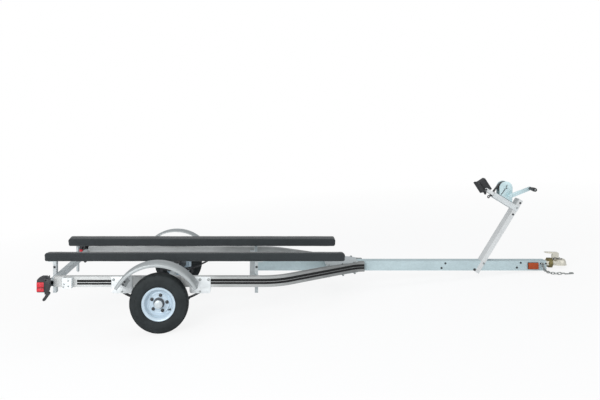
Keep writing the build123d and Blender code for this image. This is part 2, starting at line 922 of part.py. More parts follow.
def make_coupler():
    """Ball coupler: open-bottomed shank in the tongue's end and a domed socket ahead of it."""
    shank_middle = tongue_front + (ball_forward - shank_length) / 2
    shank = shank_length + ball_forward
    socket = ball_radius + socket_gap
    with BuildPart() as coupler:
        with BuildSketch(Plane.XY.offset(coupler_bottom)):
            with Locations((shank_middle, 0)):
                Rectangle(shank, 2 * neck_half)
        extrude(amount=neck_height)
        with BuildSketch(Plane.XY.offset(coupler_bottom)):
            with Locations((shank_middle, 0)):
                Rectangle(shank + 1, 2 * (neck_half - coupler_wall))
        extrude(amount=neck_height - coupler_wall, mode=Mode.SUBTRACT)
        # columns: radius, height of the upright wall, height of the dome on it, mode
        for radius, skirt, dome, mode in (
            (head_radius, head_skirt, head_dome, Mode.ADD),
            (socket, head_skirt, socket_depth - head_skirt, Mode.SUBTRACT),
        ):
            with BuildSketch(Plane.XY.offset(coupler_bottom)) as skirt_outline:
                with Locations((ball_x, 0), (ball_x + head_reach, 0)):
                    RegularPolygon(radius, drum_sides)
                make_hull()
            extrude(amount=skirt, mode=mode)
            with BuildSketch(Plane.XY.offset(coupler_bottom + skirt)):
                add(skirt_outline.sketch)
            extrude(amount=dome, taper=head_taper, mode=mode)
    return coupler.part


def make_collar():
    """Large hexagonal collar on the coupler's neck."""
    middle = coupler_bottom + neck_height / 2
    with BuildPart() as collar:
        with BuildSketch(Plane.YZ.offset(tongue_front + collar_forward)):
            with Locations((0, middle)):
                RegularPolygon(collar_flats / 2, 6, major_radius=False)
                Rectangle(2 * neck_half, neck_height, mode=Mode.SUBTRACT)
        extrude(amount=collar_length)
    return collar.part


def make_lever():
    """Coupler's latch lever: an upright foot on the neck and a long flat handle to the rear."""
    foot = tongue_front + collar_forward + collar_length + 4
    top = neck_top + lever_rise
    with BuildPart() as lever:
        with BuildSketch(Plane.XZ.offset(-lever_half_width)):
            outline(
                (foot, neck_top),
                (foot + 18, neck_top),
                (foot + 24, neck_top + 16),
                (foot + 48, neck_top + 18),
                (foot + 50, top - 6),
                (foot + 46, top),
                (foot + 50 - lever_length, top + 2),
                (foot + 50 - lever_length, top - lever_wall + 2),
                (foot, top - 12),
            )
        extrude(amount=2 * lever_half_width)
    return lever.part


# ---------------------------------------------------------------- lamps
def make_marker(side):
    """Amber side marker on the tongue."""
    plane, depth = span(side, tongue_half, tongue_half + marker_depth)
    with BuildPart() as marker:
        with BuildSketch(plane):
            with Locations((tongue_front - marker_back - marker_length / 2, frame_middle)):
                Rectangle(marker_length, marker_height)
        extrude(amount=depth)
        chamfer(marker.faces().sort_by(Axis.Y)[-1 if side > 0 else 0].edges(), length=5)
    return marker.part


member_rear = rail_rear - member_depth
lamp_middle = rail_inner + lamp_width / 2
lens_top = lamp_bottom + lens_height


def make_lamp_arm(side):
    """Lamp bracket: black plate on the rear crossmember's face with a hook below it."""
    plane, depth = span(side, rail_inner, rail_inner + lamp_width)
    with BuildPart() as lamp_arm:
        with BuildSketch(plane):
            outline(
                (member_rear - lamp_arm_wall, lamp_arm_low),
                (member_rear, lamp_arm_low),
                (member_rear, rail_top),
                (member_rear - lamp_arm_wall, rail_top),
            )
        extrude(amount=depth)
        outer = rail_inner + lamp_width
        plane, depth = span(side, outer - 30, outer)
        with BuildSketch(plane):
            outline(
                (member_rear - lamp_arm_wall, lamp_arm_low),
                (member_rear, lamp_arm_low),
                (member_rear - 10, lamp_arm_low - 20),
                (member_rear - 36, lamp_arm_low - lamp_hook),
                (member_rear - 44, lamp_arm_low - lamp_hook + 6),
                (member_rear - 18, lamp_arm_low - 18),
            )
        extrude(amount=depth)
    return lamp_arm.part


def make_lens(side):
    """Red tail-lamp lens that wraps round the lamp's side."""
    back = member_rear - lamp_arm_wall
    with BuildPart() as lens:
        with Locations((back - lamp_depth / 2, side * lamp_middle, lamp_bottom + lens_height / 2)):
            Box(lamp_depth, lamp_width, lens_height)
        chamfer(lens.faces().sort_by(Axis.X)[0].edges(), length=5)
    return lens.part


def make_hood(side):
    """Lamp's black hood over the lens, reaching forward past the rail's end."""
    back = member_rear - lamp_arm_wall
    with BuildPart() as hood:
        plane, depth = span(side, rail_inner, rail_inner + lamp_width)
        with BuildSketch(plane):
            outline(
                (back, lens_top),
                (back - lamp_depth, lens_top),
                (back - lamp_depth, lens_top + hood_height - 16),
                (back - lamp_depth + 16, lens_top + hood_height),
                (back, lens_top + hood_height - 6),
            )
        extrude(amount=depth)
        plane, depth = span(side, rail_outer + 2, rail_inner + lamp_width)
        with BuildSketch(plane):
            outline(
                (back, rail_top),
                (back + hood_forward, rail_top),
                (back + hood_forward, rail_top + 12),
                (back, lens_top + hood_height - 6),
            )
        extrude(amount=depth)
    return hood.part


# ---------------------------------------------------------------- safety chains
def resting(x, y, height):
    """Level-frame point for a place given along, across and above the ground as it stands."""
    return (tipping.inverse() * Location((x, y, height))).position


def make_link():
    """One chain link: a square-wired ring with cut corners."""
    length = link_inner_length + 2 * link_wire
    width = link_inner_width + 2 * link_wire
    with BuildPart() as link:
        with BuildSketch(Plane.XY.offset(-link_wire / 2)):
            ring = Rectangle(length, width)
            chamfer(ring.vertices(), length=link_wire)
            Rectangle(link_inner_length, link_inner_width, mode=Mode.SUBTRACT)
        extrude(amount=link_wire)
    return link.part


link_half_width = link_inner_width / 2 + link_wire
link_height = (
    link_half_width * sin(radians(link_lean)) + link_wire / 2 * cos(radians(link_lean)) + chain_clearance
)
tip_x = (tipping * Location((tongue_front, 0, tongue_bottom))).position.X
chain_side = tongue_half + link_height

# chain routes: x ahead of the tongue's tip, y toward the left, height above the ground, bend radius
chain_routes = {
    "right": (
        (-30, -chain_side, 62, 0),
        (-30, -chain_side, link_height, 42),
        (-24, -144, link_height, 60),
        (10, -186, link_height, 40),
        (66, -196, link_height, 0),
    ),
    "left": (
        (-46, chain_side, 62, 0),
        (-46, chain_side, link_height, 42),
        (-60, 150, link_height, 60),
        (-24, 204, link_height, 40),
        (32, 208, link_height, 0),
    ),
}


def link_turns(count):
    """Turn of each link about the chain: flat at its bolt, then leaning each way as far as the hook."""
    turns = [0.0, 90.0, 90.0 - link_lean]
    while len(turns) < count - 1:
        turns.append(-45.0 if turns[-1] > 0 else 45.0)
    turns.append(link_lean if turns[-1] < 0 else -link_lean)
    return turns


def make_bolt(first_link, side):
    """Hexagon bolt that holds the chain's first link to the tongue's side."""
    drop = link_inner_length / 2 - anchor_bolt - running_gap
    middle = first_link.origin - first_link.x_dir * drop
    root = Plane(Vector(middle.X, side * tongue_half, middle.Z), x_dir=(1, 0, 0), z_dir=(0, side, 0))
    with BuildPart() as bolt:
        with BuildSketch(root):
            RegularPolygon(anchor_bolt, pin_sides)
        extrude(amount=link_height + link_wire)
        with BuildSketch(root.offset(link_height + link_wire)):
            RegularPolygon(anchor_head, 6)
        extrude(amount=anchor_bolt)
    return bolt.part


def make_hook(eye, link):
    """Chain hook lying flat: an eye like the links, and a shank that turns back on itself."""
    far = hook_length - hook_wall / 2
    back = hook_width - hook_wall
    cut = hook_wall / 2
    with BuildPart() as hook:
        add(link.located(eye.location))
        with BuildSketch(eye.offset(chain_clearance - link_height)):
            with BuildLine():
                Polyline(
                    (link_inner_length / 2, 0),
                    (far - cut, 0),
                    (far, cut),
                    (far, back - cut),
                    (far - cut, back),
                    (far - hook_return, back),
                )
            trace(line_width=hook_wall)
        extrude(amount=hook_wall)
    return hook.part


def make_chain(name):
    """Safety chain along its route: its bolt, links turned from one to the next, and its hook."""
    route = chain_routes[name]
    side = dict(sides)[name]
    link = make_link()
    up = (tipping.inverse() * Plane.XY).z_dir
    with BuildLine(mode=Mode.PRIVATE) as path:
        FilletPolyline(
            *[resting(tip_x + x, y, height) for x, y, height, bend in route],
            radius=[bend for x, y, height, bend in route[1:-1]],
        )
    wire = path.wire()
    frames = []
    for number, turn in enumerate(link_turns(int(wire.length / link_pitch))):
        start = wire.position_at(number * link_pitch, position_mode=PositionMode.LENGTH)
        end = wire.position_at((number + 1) * link_pitch, position_mode=PositionMode.LENGTH)
        forward = (end - start).normalized()
        # the link's outward side is up on the ground and outboard where the chain drops
        outward = up + Vector(0, side, 0) * max(0, -forward.dot(up))
        outward = (outward - forward * outward.dot(forward)).normalized()
        turned_out = outward.rotate(Axis((0, 0, 0), forward), turn)
        frames.append(Plane((start + end) / 2, x_dir=forward, z_dir=turned_out))
    eye = Plane(end + forward * link_pitch / 2, x_dir=forward, z_dir=up)
    links = [link.located(frame.location) for frame in frames]
    return Compound(children=[make_bolt(frames[0], side), *links, make_hook(eye, link)])


# ---------------------------------------------------------------- pieces
pieces = {
    "tongue": make_tongue(),
    "rear_crossmember": make_member(rail_rear - member_depth, rail_outer),
    "front_crossmember": make_member(front_member_rear, rail_inner),
    "gusset_top": make_gusset(rail_top),
    "gusset_bottom": make_gusset(rail_bottom - plate),
    "axle": make_axle(),
    "winch_post": make_post(),
    "winch_arm": make_arm(),
    "stop_bar": make_bar(),
    "bow_stop": make_stop(),
    "winch_frame": make_frame(),
    "winch_drum": make_drum(),
    "strap_roll": make_roll(),
    "strap_run": make_strap(),
    "strap_hook": make_strap_hook(),
    "winch_crank": make_crank(),
    "crank_grip": make_grip(),
    "coupler": make_coupler(),
    "coupler_collar": make_collar(),
    "coupler_lever": make_lever(),
    "chain_left": make_chain("left"),
    "chain_right": make_chain("right"),
}
for name, side in sides:
    pieces[f"rail_{name}"] = make_rail(side)
    pieces[f"corner_bracket_{name}"] = make_corner(side)
    pieces[f"hanger_front_{name}"] = make_hanger(side, hanger_spread)
    pieces[f"hanger_rear_{name}"] = make_hanger(side, -hanger_spread)
    pieces[f"leaf_spring_{name}"] = make_spring(side)
    pieces[f"axle_clamp_{name}"] = make_clamp(side)
    pieces[f"tyre_{name}"] = make_tyre(side)
    pieces[f"wheel_{name}"] = make_wheel(side)
    pieces[f"hub_{name}"] = make_hub(side)
    pieces[f"fender_{name}"] = make_fender(side)
    pieces[f"bunk_{name}"] = make_bunk(side)
    pieces[f"bunk_bracket_front_{name}"] = make_bracket(side, front_member_rear + member_depth, 1)
    pieces[f"bunk_bracket_rear_{name}"] = make_bracket(side, member_rear, -1)
    pieces[f"side_marker_{name}"] = make_marker(side)
    pieces[f"lamp_bracket_{name}"] = make_lamp_arm(side)
    pieces[f"lamp_lens_{name}"] = make_lens(side)
    pieces[f"lamp_hood_{name}"] = make_hood(side)

# tip every piece about the axle and bring the origin to the middle of the footprint
tipped = {name: piece.moved(tipping) for name, piece in pieces.items()}
low_x = min(piece.bounding_box().min.X for piece in tipped.values())
high_x = max(piece.bounding_box().max.X for piece in tipped.values())
footprint = Location((-(low_x + high_x) / 2, 0, 0))

os.makedirs("parts", exist_ok=True)
for name, piece in tipped.items():
    placed = piece.moved(footprint)
    placed.label = name
    export_step(placed, f"parts/{name}.step")
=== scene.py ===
"""Small boat trailer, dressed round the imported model.

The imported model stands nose-down on its wheels and its tongue's tip.  New pieces are drawn with
the trailer level, X forward from the axle, Y to the left and Z up from the ground, and are then
tipped into the model's own frame by one matrix that is worked out from the tongue.
"""
import json
import logging
import math
from dataclasses import dataclass
from enum import Enum
from typing import Callable, ClassVar, Iterable, Sequence

import bmesh
import bpy
import numpy
from mathutils import Matrix, Vector


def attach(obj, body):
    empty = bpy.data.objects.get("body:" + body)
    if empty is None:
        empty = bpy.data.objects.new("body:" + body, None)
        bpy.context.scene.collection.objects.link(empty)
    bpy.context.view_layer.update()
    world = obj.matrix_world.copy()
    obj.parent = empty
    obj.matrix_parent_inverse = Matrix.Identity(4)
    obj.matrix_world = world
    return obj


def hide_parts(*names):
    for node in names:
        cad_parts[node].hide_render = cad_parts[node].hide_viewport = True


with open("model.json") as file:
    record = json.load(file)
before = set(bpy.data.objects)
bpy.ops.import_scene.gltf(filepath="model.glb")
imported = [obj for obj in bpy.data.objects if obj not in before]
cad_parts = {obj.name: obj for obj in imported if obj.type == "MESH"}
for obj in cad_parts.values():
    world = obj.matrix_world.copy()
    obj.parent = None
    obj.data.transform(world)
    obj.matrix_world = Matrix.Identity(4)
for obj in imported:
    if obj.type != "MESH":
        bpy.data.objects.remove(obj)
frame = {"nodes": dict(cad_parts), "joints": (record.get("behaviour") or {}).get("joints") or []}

LOG = logging.getLogger("boat_trailer")
ALONG, ACROSS, UP = Vector((1, 0, 0)), Vector((0, 1, 0)), Vector((0, 0, 1))
Colour = tuple[float, float, float]
Pairs = Sequence[tuple[float, float]]
Bars = Sequence[tuple[float, float, float, int, float]]
Piece = bpy.types.Object


class Body(Enum):
    """The model's moving bodies."""

    TRAILER = "trailer"
    WHEEL_LEFT = "wheel_left"
    WHEEL_RIGHT = "wheel_right"
    DRUM = "winch_drum"
    CRANK = "winch_crank"


class Side(Enum):
    """One side of the trailer, with the sign of its Y."""

    LEFT = 1
    RIGHT = -1

    @property
    def word(self) -> str:
        """The side's name as the model's nodes spell it."""
        return self.name.lower()


def srgb(red: int, green: int, blue: int) -> Colour:
    """Linear colour of an 8-bit screen colour."""
    shares = [channel / 255 for channel in (red, green, blue)]
    return tuple(s / 12.92 if s <= 0.04045 else ((s + 0.055) / 1.055) ** 2.4 for s in shares)


def shade(colour: Colour, share: float) -> Colour:
    """A colour scaled toward black or white, at most 1 a channel."""
    return tuple(min(1.0, channel * share) for channel in colour)


def polar(radius: float, degrees: float) -> Vector:
    """Point of the side view from its radius and its bearing, from +X up toward +Z."""
    turn = math.radians(degrees)
    return Vector((radius * math.cos(turn), 0, radius * math.sin(turn)))


def extent(points: Iterable[Vector]) -> tuple[Vector, Vector]:
    """Lowest and highest corner of the box round some points."""
    columns = list(zip(*points))
    return Vector([min(column) for column in columns]), Vector([max(column) for column in columns])


# ------------------------------------------------------------------ places
class Level:
    """The level drawing frame and the matrix that tips it into the model's frame."""

    def __init__(self) -> None:
        """Works out the tip from the tongue's long edge and the wheels' joint."""
        points = [v.co for v in frame["nodes"]["tongue"].data.vertices]
        rear = max(points, key=lambda p: p.z)
        front = max(points, key=lambda p: p.x)
        self.pitch = math.atan2(rear.z - front.z, front.x - rear.x)
        joint = next(j for j in frame["joints"] if j["child"] == Body.WHEEL_LEFT.value)
        axle = Vector((joint["pos_m"][0], 0, joint["pos_m"][2]))
        lift = Matrix.Translation((0, 0, -axle.z))
        self.to_model = Matrix.Translation(axle) @ Matrix.Rotation(self.pitch, 4, "Y") @ lift
        self.from_model = self.to_model.inverted()

    def box(self, node: str) -> tuple[Vector, Vector]:
        """Lowest and highest corner of a node in the level frame."""
        return extent(self.from_model @ v.co for v in frame["nodes"][node].data.vertices)


LEVEL = Level()


# ------------------------------------------------------------------ shader maths
class Signal:
    """A shader socket that takes part in arithmetic by adding Math nodes."""

    def __init__(self, graph: "Graph", socket: bpy.types.NodeSocket) -> None:
        """Wraps one output socket of a graph."""
        self.graph = graph
        self.socket = socket

    def maths(self, operation: str, *values: "Signal | float") -> "Signal":
        """Result of a Math node with this operation and these inputs."""
        return self.graph.add("ShaderNodeMath", {"operation": operation}, dict(enumerate(values)))

    def __add__(self, other: "Signal | float") -> "Signal":
        """Sum."""
        return self.maths("ADD", self, other)

    __radd__ = __add__

    def __mul__(self, other: "Signal | float") -> "Signal":
        """Product."""
        return self.maths("MULTIPLY", self, other)

    __rmul__ = __mul__

    def __sub__(self, other: "Signal | float") -> "Signal":
        """Difference."""
        return self.maths("SUBTRACT", self, other)

    def __rsub__(self, other: float) -> "Signal":
        """Difference from a number."""
        return self.maths("SUBTRACT", other, self)

    def __gt__(self, other: "Signal | float") -> "Signal":
        """1 where this is more than the other."""
        return self.maths("GREATER_THAN", self, other)

    def __lt__(self, other: "Signal | float") -> "Signal":
        """1 where this is less than the other."""
        return self.maths("LESS_THAN", self, other)

    def ramp(self, low: float, high: float, start: float = 0.0, end: float = 1.0) -> "Signal":
        """Straight ramp between two values, held at its ends.

        Args:
            low: Value of this signal where the ramp starts.
            high: Value of this signal where it ends.
            start: Result at the start.
            end: Result at the end.

        Returns:
            The ramp's result.
        """
        settings = {"clamp": True}
        inputs = {"Value": self, "From Min": low, "From Max": high, "To Min": start, "To Max": end}
        return self.graph.add("ShaderNodeMapRange", settings, inputs, "Result")


class Graph:
    """Builds one material's nodes."""

    def __init__(self, name: str) -> None:
        """Makes an empty material with a Principled shader.

        Args:
            name: The material's name.
        """
        self.material = bpy.data.materials.new(name)
        self.material.use_nodes = True
        self.nodes = self.material.node_tree.nodes
        self.links = self.material.node_tree.links
        self.shader = self.nodes["Principled BSDF"]
        self.coordinates = self.add("ShaderNodeTexCoord", {}, {}, "Object")

    def add(
        self,
        kind: str,
        settings: dict[str, object],
        inputs: dict[int | str, object],
        output: int | str = 0,
    ) -> Signal:
        """Adds any node.

        Args:
            kind: The node's type.
            settings: Its properties, which are set first.
            inputs: Value or signal for each input, by name or number.
            output: Which output is returned.

        Returns:
            The chosen output.
        """
        node = self.nodes.new(kind)
        for key, value in settings.items():
            setattr(node, key, value)
        for key, value in inputs.items():
            if isinstance(value, Signal):
                self.links.new(value.socket, node.inputs[key])
            else:
                node.inputs[key].default_value = value
        return Signal(self, node.outputs[output])

    def plain(self, **values: object) -> None:
        """Sets the shader's own sockets that are the same all over the surface."""
        for key, value in values.items():
            self.shader.inputs[key.replace("_", " ").title().replace("Ior", "IOR")].default_value = value

    def drive(self, socket: str, signal: Signal) -> None:
        """Links a signal to one of the shader's sockets."""
        self.links.new(signal.socket, self.shader.inputs[socket])

    def axes(self, vector: Signal) -> list[Signal]:
        """The three components of a vector."""
        split = self.add("ShaderNodeSeparateXYZ", {}, {0: vector})
        return [Signal(self, socket) for socket in split.socket.node.outputs]

    def bands(self, direction: str, scale: float, inputs: dict[str, float]) -> Signal:
        """Wave bands on the piece's own coordinates."""
        kind = {"wave_type": "BANDS", "bands_direction": direction}
        return self.add("ShaderNodeTexWave", kind, {"Vector": self.coordinates, "Scale": scale, **inputs})

    def noise(
        self, scale: float, detail: float = 3.0, rough: float = 0.55, stretch: Sequence[float] = (1, 1, 1)
    ) -> Signal:
        """Noise on the piece's own coordinates.

        Args:
            scale: Noise cells to a metre.
            detail: Octaves.
            rough: Weight of the finer octaves.
            stretch: Share of the scale along each axis.

        Returns:
            The noise, 0 to 1.
        """
        place = self.add("ShaderNodeMapping", {}, {"Vector": self.coordinates, "Scale": tuple(stretch)})
        inputs = {"Vector": place, "Scale": scale, "Detail": detail, "Roughness": rough}
        return self.add("ShaderNodeTexNoise", {}, inputs)

    def mix(self, share: Signal, first: "Signal | Colour", second: "Signal | Colour") -> Signal:
        """Colour between two colours.

        Args:
            share: 0 gives the first and 1 the second.
            first: Colour at 0.
            second: Colour at 1.

        Returns:
            The mixed colour.
        """
        def full(colour: "Signal | Colour") -> object:
            """A colour with its alpha, or a signal as it is."""
            return colour if isinstance(colour, Signal) else (*colour, 1.0)

        inputs = {0: share, 6: full(first), 7: full(second)}
        return self.add("ShaderNodeMix", {"data_type": "RGBA"}, inputs, 2)

    def bump(self, height: Signal, distance: float) -> None:
        """Feeds the shader's normal from a height, 0 to 1, with its reach in metres."""
        inputs = {"Height": height, "Distance": distance, "Strength": 1.0}
        self.drive("Normal", self.add("ShaderNodeBump", {}, inputs, "Normal"))


# ------------------------------------------------------------------ finishes
@dataclass(frozen=True)
class Finish:
    """What every finish has: its material's name, its colour and the record's slot."""

    name: str
    colour: Colour
    slot: str

    def tones(self, graph: Graph, share: Signal, dark: float, pale: float) -> Signal:
        """The colour scaled by one number where the share is 0 and by another where it is 1."""
        return graph.mix(share, shade(self.colour, dark), shade(self.colour, pale))


@dataclass(frozen=True)
class Metal(Finish):
    """Plated or painted metal with a faint mottle and a fine grain."""

    metallic: float = 0.5
    roughness: float = 0.42
    spread: float = 0.06
    mottle: float = 0.12
    mottle_scale: float = 28.0
    grain: float = 0.00004
    grain_scale: float = 420.0
    coat: float = 0.0

    def build(self) -> bpy.types.Material:
        """Makes the material.

        Returns:
            The material.
        """
        graph = Graph(self.name)
        graph.plain(metallic=self.metallic, coat_weight=self.coat)
        share = graph.noise(self.mottle_scale, 5.0, 0.62).ramp(0.3, 0.7)
        graph.drive("Base Color", self.tones(graph, share, 1 - self.mottle, 1 + self.mottle / 2))
        rough = share.ramp(0, 1, self.roughness - self.spread, self.roughness + self.spread)
        graph.drive("Roughness", rough)
        graph.bump(graph.noise(self.grain_scale), self.grain)
        return graph.material


@dataclass(frozen=True)
class TapeLine:
    """One line of the rails' tape.

    Attributes:
        below: Its middle below the rail's top, behind the hangers.
        width: Its width there.
        front_below: Its middle below the rail's top, in front of the hangers.
        front_width: Its width there.
    """

    below: float
    width: float
    front_below: float
    front_width: float


@dataclass(frozen=True)
class Galvanized(Finish):
    """Hot-dip galvanized steel: pale zinc with a soft spangle, streaks and patches that are rougher and
    duller.
    """

    roughness: float = 0.46
    spangle_scale: float = 85.0
    spangle: float = 0.12

    def build(self) -> bpy.types.Material:
        """Makes the material.

        Returns:
            The material.
        """
        graph = Graph(self.name)
        graph.plain(metallic=0.35)
        inputs = {"Vector": graph.coordinates, "Scale": self.spangle_scale, "Randomness": 1.0}
        crystals = graph.add("ShaderNodeTexVoronoi", {"feature": "F1"}, inputs, "Color")
        crystal = graph.add("ShaderNodeSeparateColor", {}, {0: crystals})
        cloud = graph.noise(6.0, 4.0, 0.6)
        streak = graph.noise(22.0, 4.0, 0.65, (0.25, 1.0, 1.0))
        rest = self.spangle / 2
        tone = crystal * self.spangle + cloud * (0.6 - rest) + streak * (0.4 - rest)
        share = tone.ramp(0.32, 0.68)
        rough = share.ramp(0, 1, self.roughness + 0.09, self.roughness - 0.07)
        self.dress(graph, self.tones(graph, share, 0.88, 1.06), rough, streak)
        graph.bump(graph.noise(160.0, 2.0) * 0.6 + streak * 0.4, 0.00005)
        return graph.material

    def dress(self, graph: Graph, colour: Signal, rough: Signal, streak: Signal) -> None:
        """Feeds the shader with the zinc's colour and roughness."""
        graph.drive("Base Color", colour)
        graph.drive("Roughness", rough)


@dataclass(frozen=True)
class TapedRail(Galvanized):
    """Galvanized rail with painted shade that darkens it toward its front, and twin black tape along its
    outer face.
    """

    tape: Colour = srgb(14, 14, 15)
    tape_roughness: float = 0.5
    start: float = 0.168
    hanger_end: float = 0.356
    lines: tuple[TapeLine, ...] = (
        TapeLine(0.0325, 0.0175, 0.0265, 0.0190),
        TapeLine(0.0520, 0.0140, 0.0470, 0.0160),
    )

    def dress(self, graph: Graph, colour: Signal, rough: Signal, streak: Signal) -> None:
        """Lays painted shade toward the front, and the tape, over the zinc.

        Args:
            graph: The rail's material.
            colour: The zinc's colour.
            rough: The zinc's roughness.
            streak: Noise drawn out along the rail.
        """
        mask, along = self.tape_mask(graph)
        # Painted shade: forward of the front hangers the zinc is mixed, in two steps, toward a copy of itself
        # at 0.36 to 0.48 of its colour, standing in for the shade on the rails' front part.
        painted_shade = along.ramp(0.30, 0.44, 0.0, 0.6) + along.ramp(0.85, 1.25, 0.0, 0.4)
        colour = graph.mix(painted_shade, colour, self.tones(graph, streak.ramp(0.3, 0.7), 0.36, 0.48))
        rough = mask * self.tape_roughness + rough * (1 - mask)
        super().dress(graph, graph.mix(mask, colour, self.tape), rough, streak)

    def tape_mask(self, graph: Graph) -> tuple[Signal, Signal]:
        """Where the tape lies.

        Args:
            graph: The rail's material.

        Returns:
            A signal that is 1 on the tape, and the place along the trailer.
        """
        low, high = LEVEL.box("rail_right")
        tip = LEVEL.from_model
        turn = {"Location": tip.to_translation(), "Rotation": tip.to_euler()}
        level = graph.add(
            "ShaderNodeMapping", {"vector_type": "POINT"}, {"Vector": graph.coordinates, **turn}
        )
        along, across, place = graph.axes(level)
        facing = graph.axes(graph.add("ShaderNodeNewGeometry", {}, {}, "Normal"))[1]
        outward = (facing * across) > 0.02
        front = along > self.hanger_end
        tape = []
        for line in self.lines:
            middle = high.z - line.below - front * (line.front_below - line.below)
            half = line.width / 2 + front * ((line.front_width - line.width) / 2)
            tape.append((place > middle - half) * (place < middle + half))
        hanger = (along > -self.hanger_end) * (along < self.hanger_end)
        clear = (along > low.x + self.start) * (1 - hanger)
        return (tape[0] + tape[1]) * outward * clear, along


@dataclass(frozen=True)
class Plastic(Finish):
    """Moulded plastic or rubber with a fine grain."""

    roughness: float = 0.45
    grain: float = 0.00005
    grain_scale: float = 900.0
    mottle: float = 0.12

    def build(self) -> bpy.types.Material:
        """Makes the material.

        Returns:
            The material.
        """
        graph = Graph(self.name)
        wear = graph.noise(40.0, 4.0, 0.6).ramp(0.3, 0.75)
        graph.drive("Base Color", self.tones(graph, wear, 1 - self.mottle, 1 + self.mottle))
        graph.drive("Roughness", wear.ramp(0, 1, self.roughness - 0.05, self.roughness + 0.07))
        graph.bump(graph.noise(self.grain_scale, 2.0), self.grain)
        return graph.material


@dataclass(frozen=True)
class Carpet(Finish):
    """Marine carpet: short looped pile with painted shade in its hollows, paler where it is worn."""

    pile_height: float = 0.0016

    def build(self) -> bpy.types.Material:
        """Makes the material.

        Returns:
            The material.
        """
        graph = Graph(self.name)
        graph.plain(roughness=0.95, sheen_weight=0.25, sheen_roughness=0.5, specular_ior_level=0.15)
        pile = graph.noise(700.0, 3.0, 0.7)
        inputs = {"Vector": graph.coordinates, "Scale": 380.0}
        tuft = 1 - graph.add("ShaderNodeTexVoronoi", {"feature": "F1"}, inputs)
        wear = graph.noise(9.0, 4.0, 0.6).ramp(0.35, 0.75)
        # Painted shade: the pile's colour is darker where its bump is low, between the tufts.
        base = self.tones(graph, (pile * 0.6 + tuft * 0.4).ramp(0.25, 0.75), 0.62, 1.35)
        graph.drive("Base Color", graph.mix(wear * 0.3, base, shade(self.colour, 1.5)))
        graph.bump(pile * 0.5 + tuft * 0.5, self.pile_height)
        return graph.material


@dataclass(frozen=True)
class Tyre(Finish):
    """Tyre rubber with moulding dust."""

    grain: float = 0.00008

    def build(self) -> bpy.types.Material:
        """Makes the material.

        Returns:
            The material.
        """
        graph = Graph(self.name)
        graph.plain(specular_ior_level=0.14)
        dust = graph.noise(14.0, 5.0, 0.65).ramp(0.4, 0.75)
        graph.drive("Base Color", self.tones(graph, dust, 0.85, 1.35))
        graph.drive("Roughness", dust.ramp(0, 1, 0.56, 0.74))
        graph.bump(graph.noise(600.0), self.grain)
        return graph.material


@dataclass(frozen=True)
class Webbing(Finish):
    """Woven polyester strap."""

    weave: float = 160.0
    weave_height: float = 0.0004

    def build(self) -> bpy.types.Material:
        """Makes the material.

        Returns:
            The material.
        """
        graph = Graph(self.name)
        graph.plain(roughness=0.8, sheen_weight=0.2)
        weave = graph.bands("DIAGONAL", self.weave, {"Distortion": 1.0, "Detail": 1.0})
        graph.drive("Base Color", self.tones(graph, weave.ramp(0.2, 0.8), 0.72, 1.0))
        graph.bump(weave, self.weave_height)
        return graph.material


@dataclass(frozen=True)
class Lens(Finish):
    """Ribbed lamp lens of tinted plastic."""

    ribs: float = 95.0
    rib_height: float = 0.0004

    def build(self) -> bpy.types.Material:
        """Makes the material.

        Returns:
            The material.
        """
        graph = Graph(self.name)
        graph.plain(roughness=0.36, coat_weight=0.1, coat_roughness=0.1, ior=1.49)
        ribs = graph.bands("Z", self.ribs, {"Distortion": 0.0})
        cloud = graph.noise(18.0, 2.0).ramp(0.3, 0.7)
        tone = (ribs * 0.5 + cloud * 0.5).ramp(0.1, 0.9)
        graph.drive("Base Color", self.tones(graph, tone, 0.7, 1.2))
        graph.bump(ribs, self.rib_height)
        return graph.material


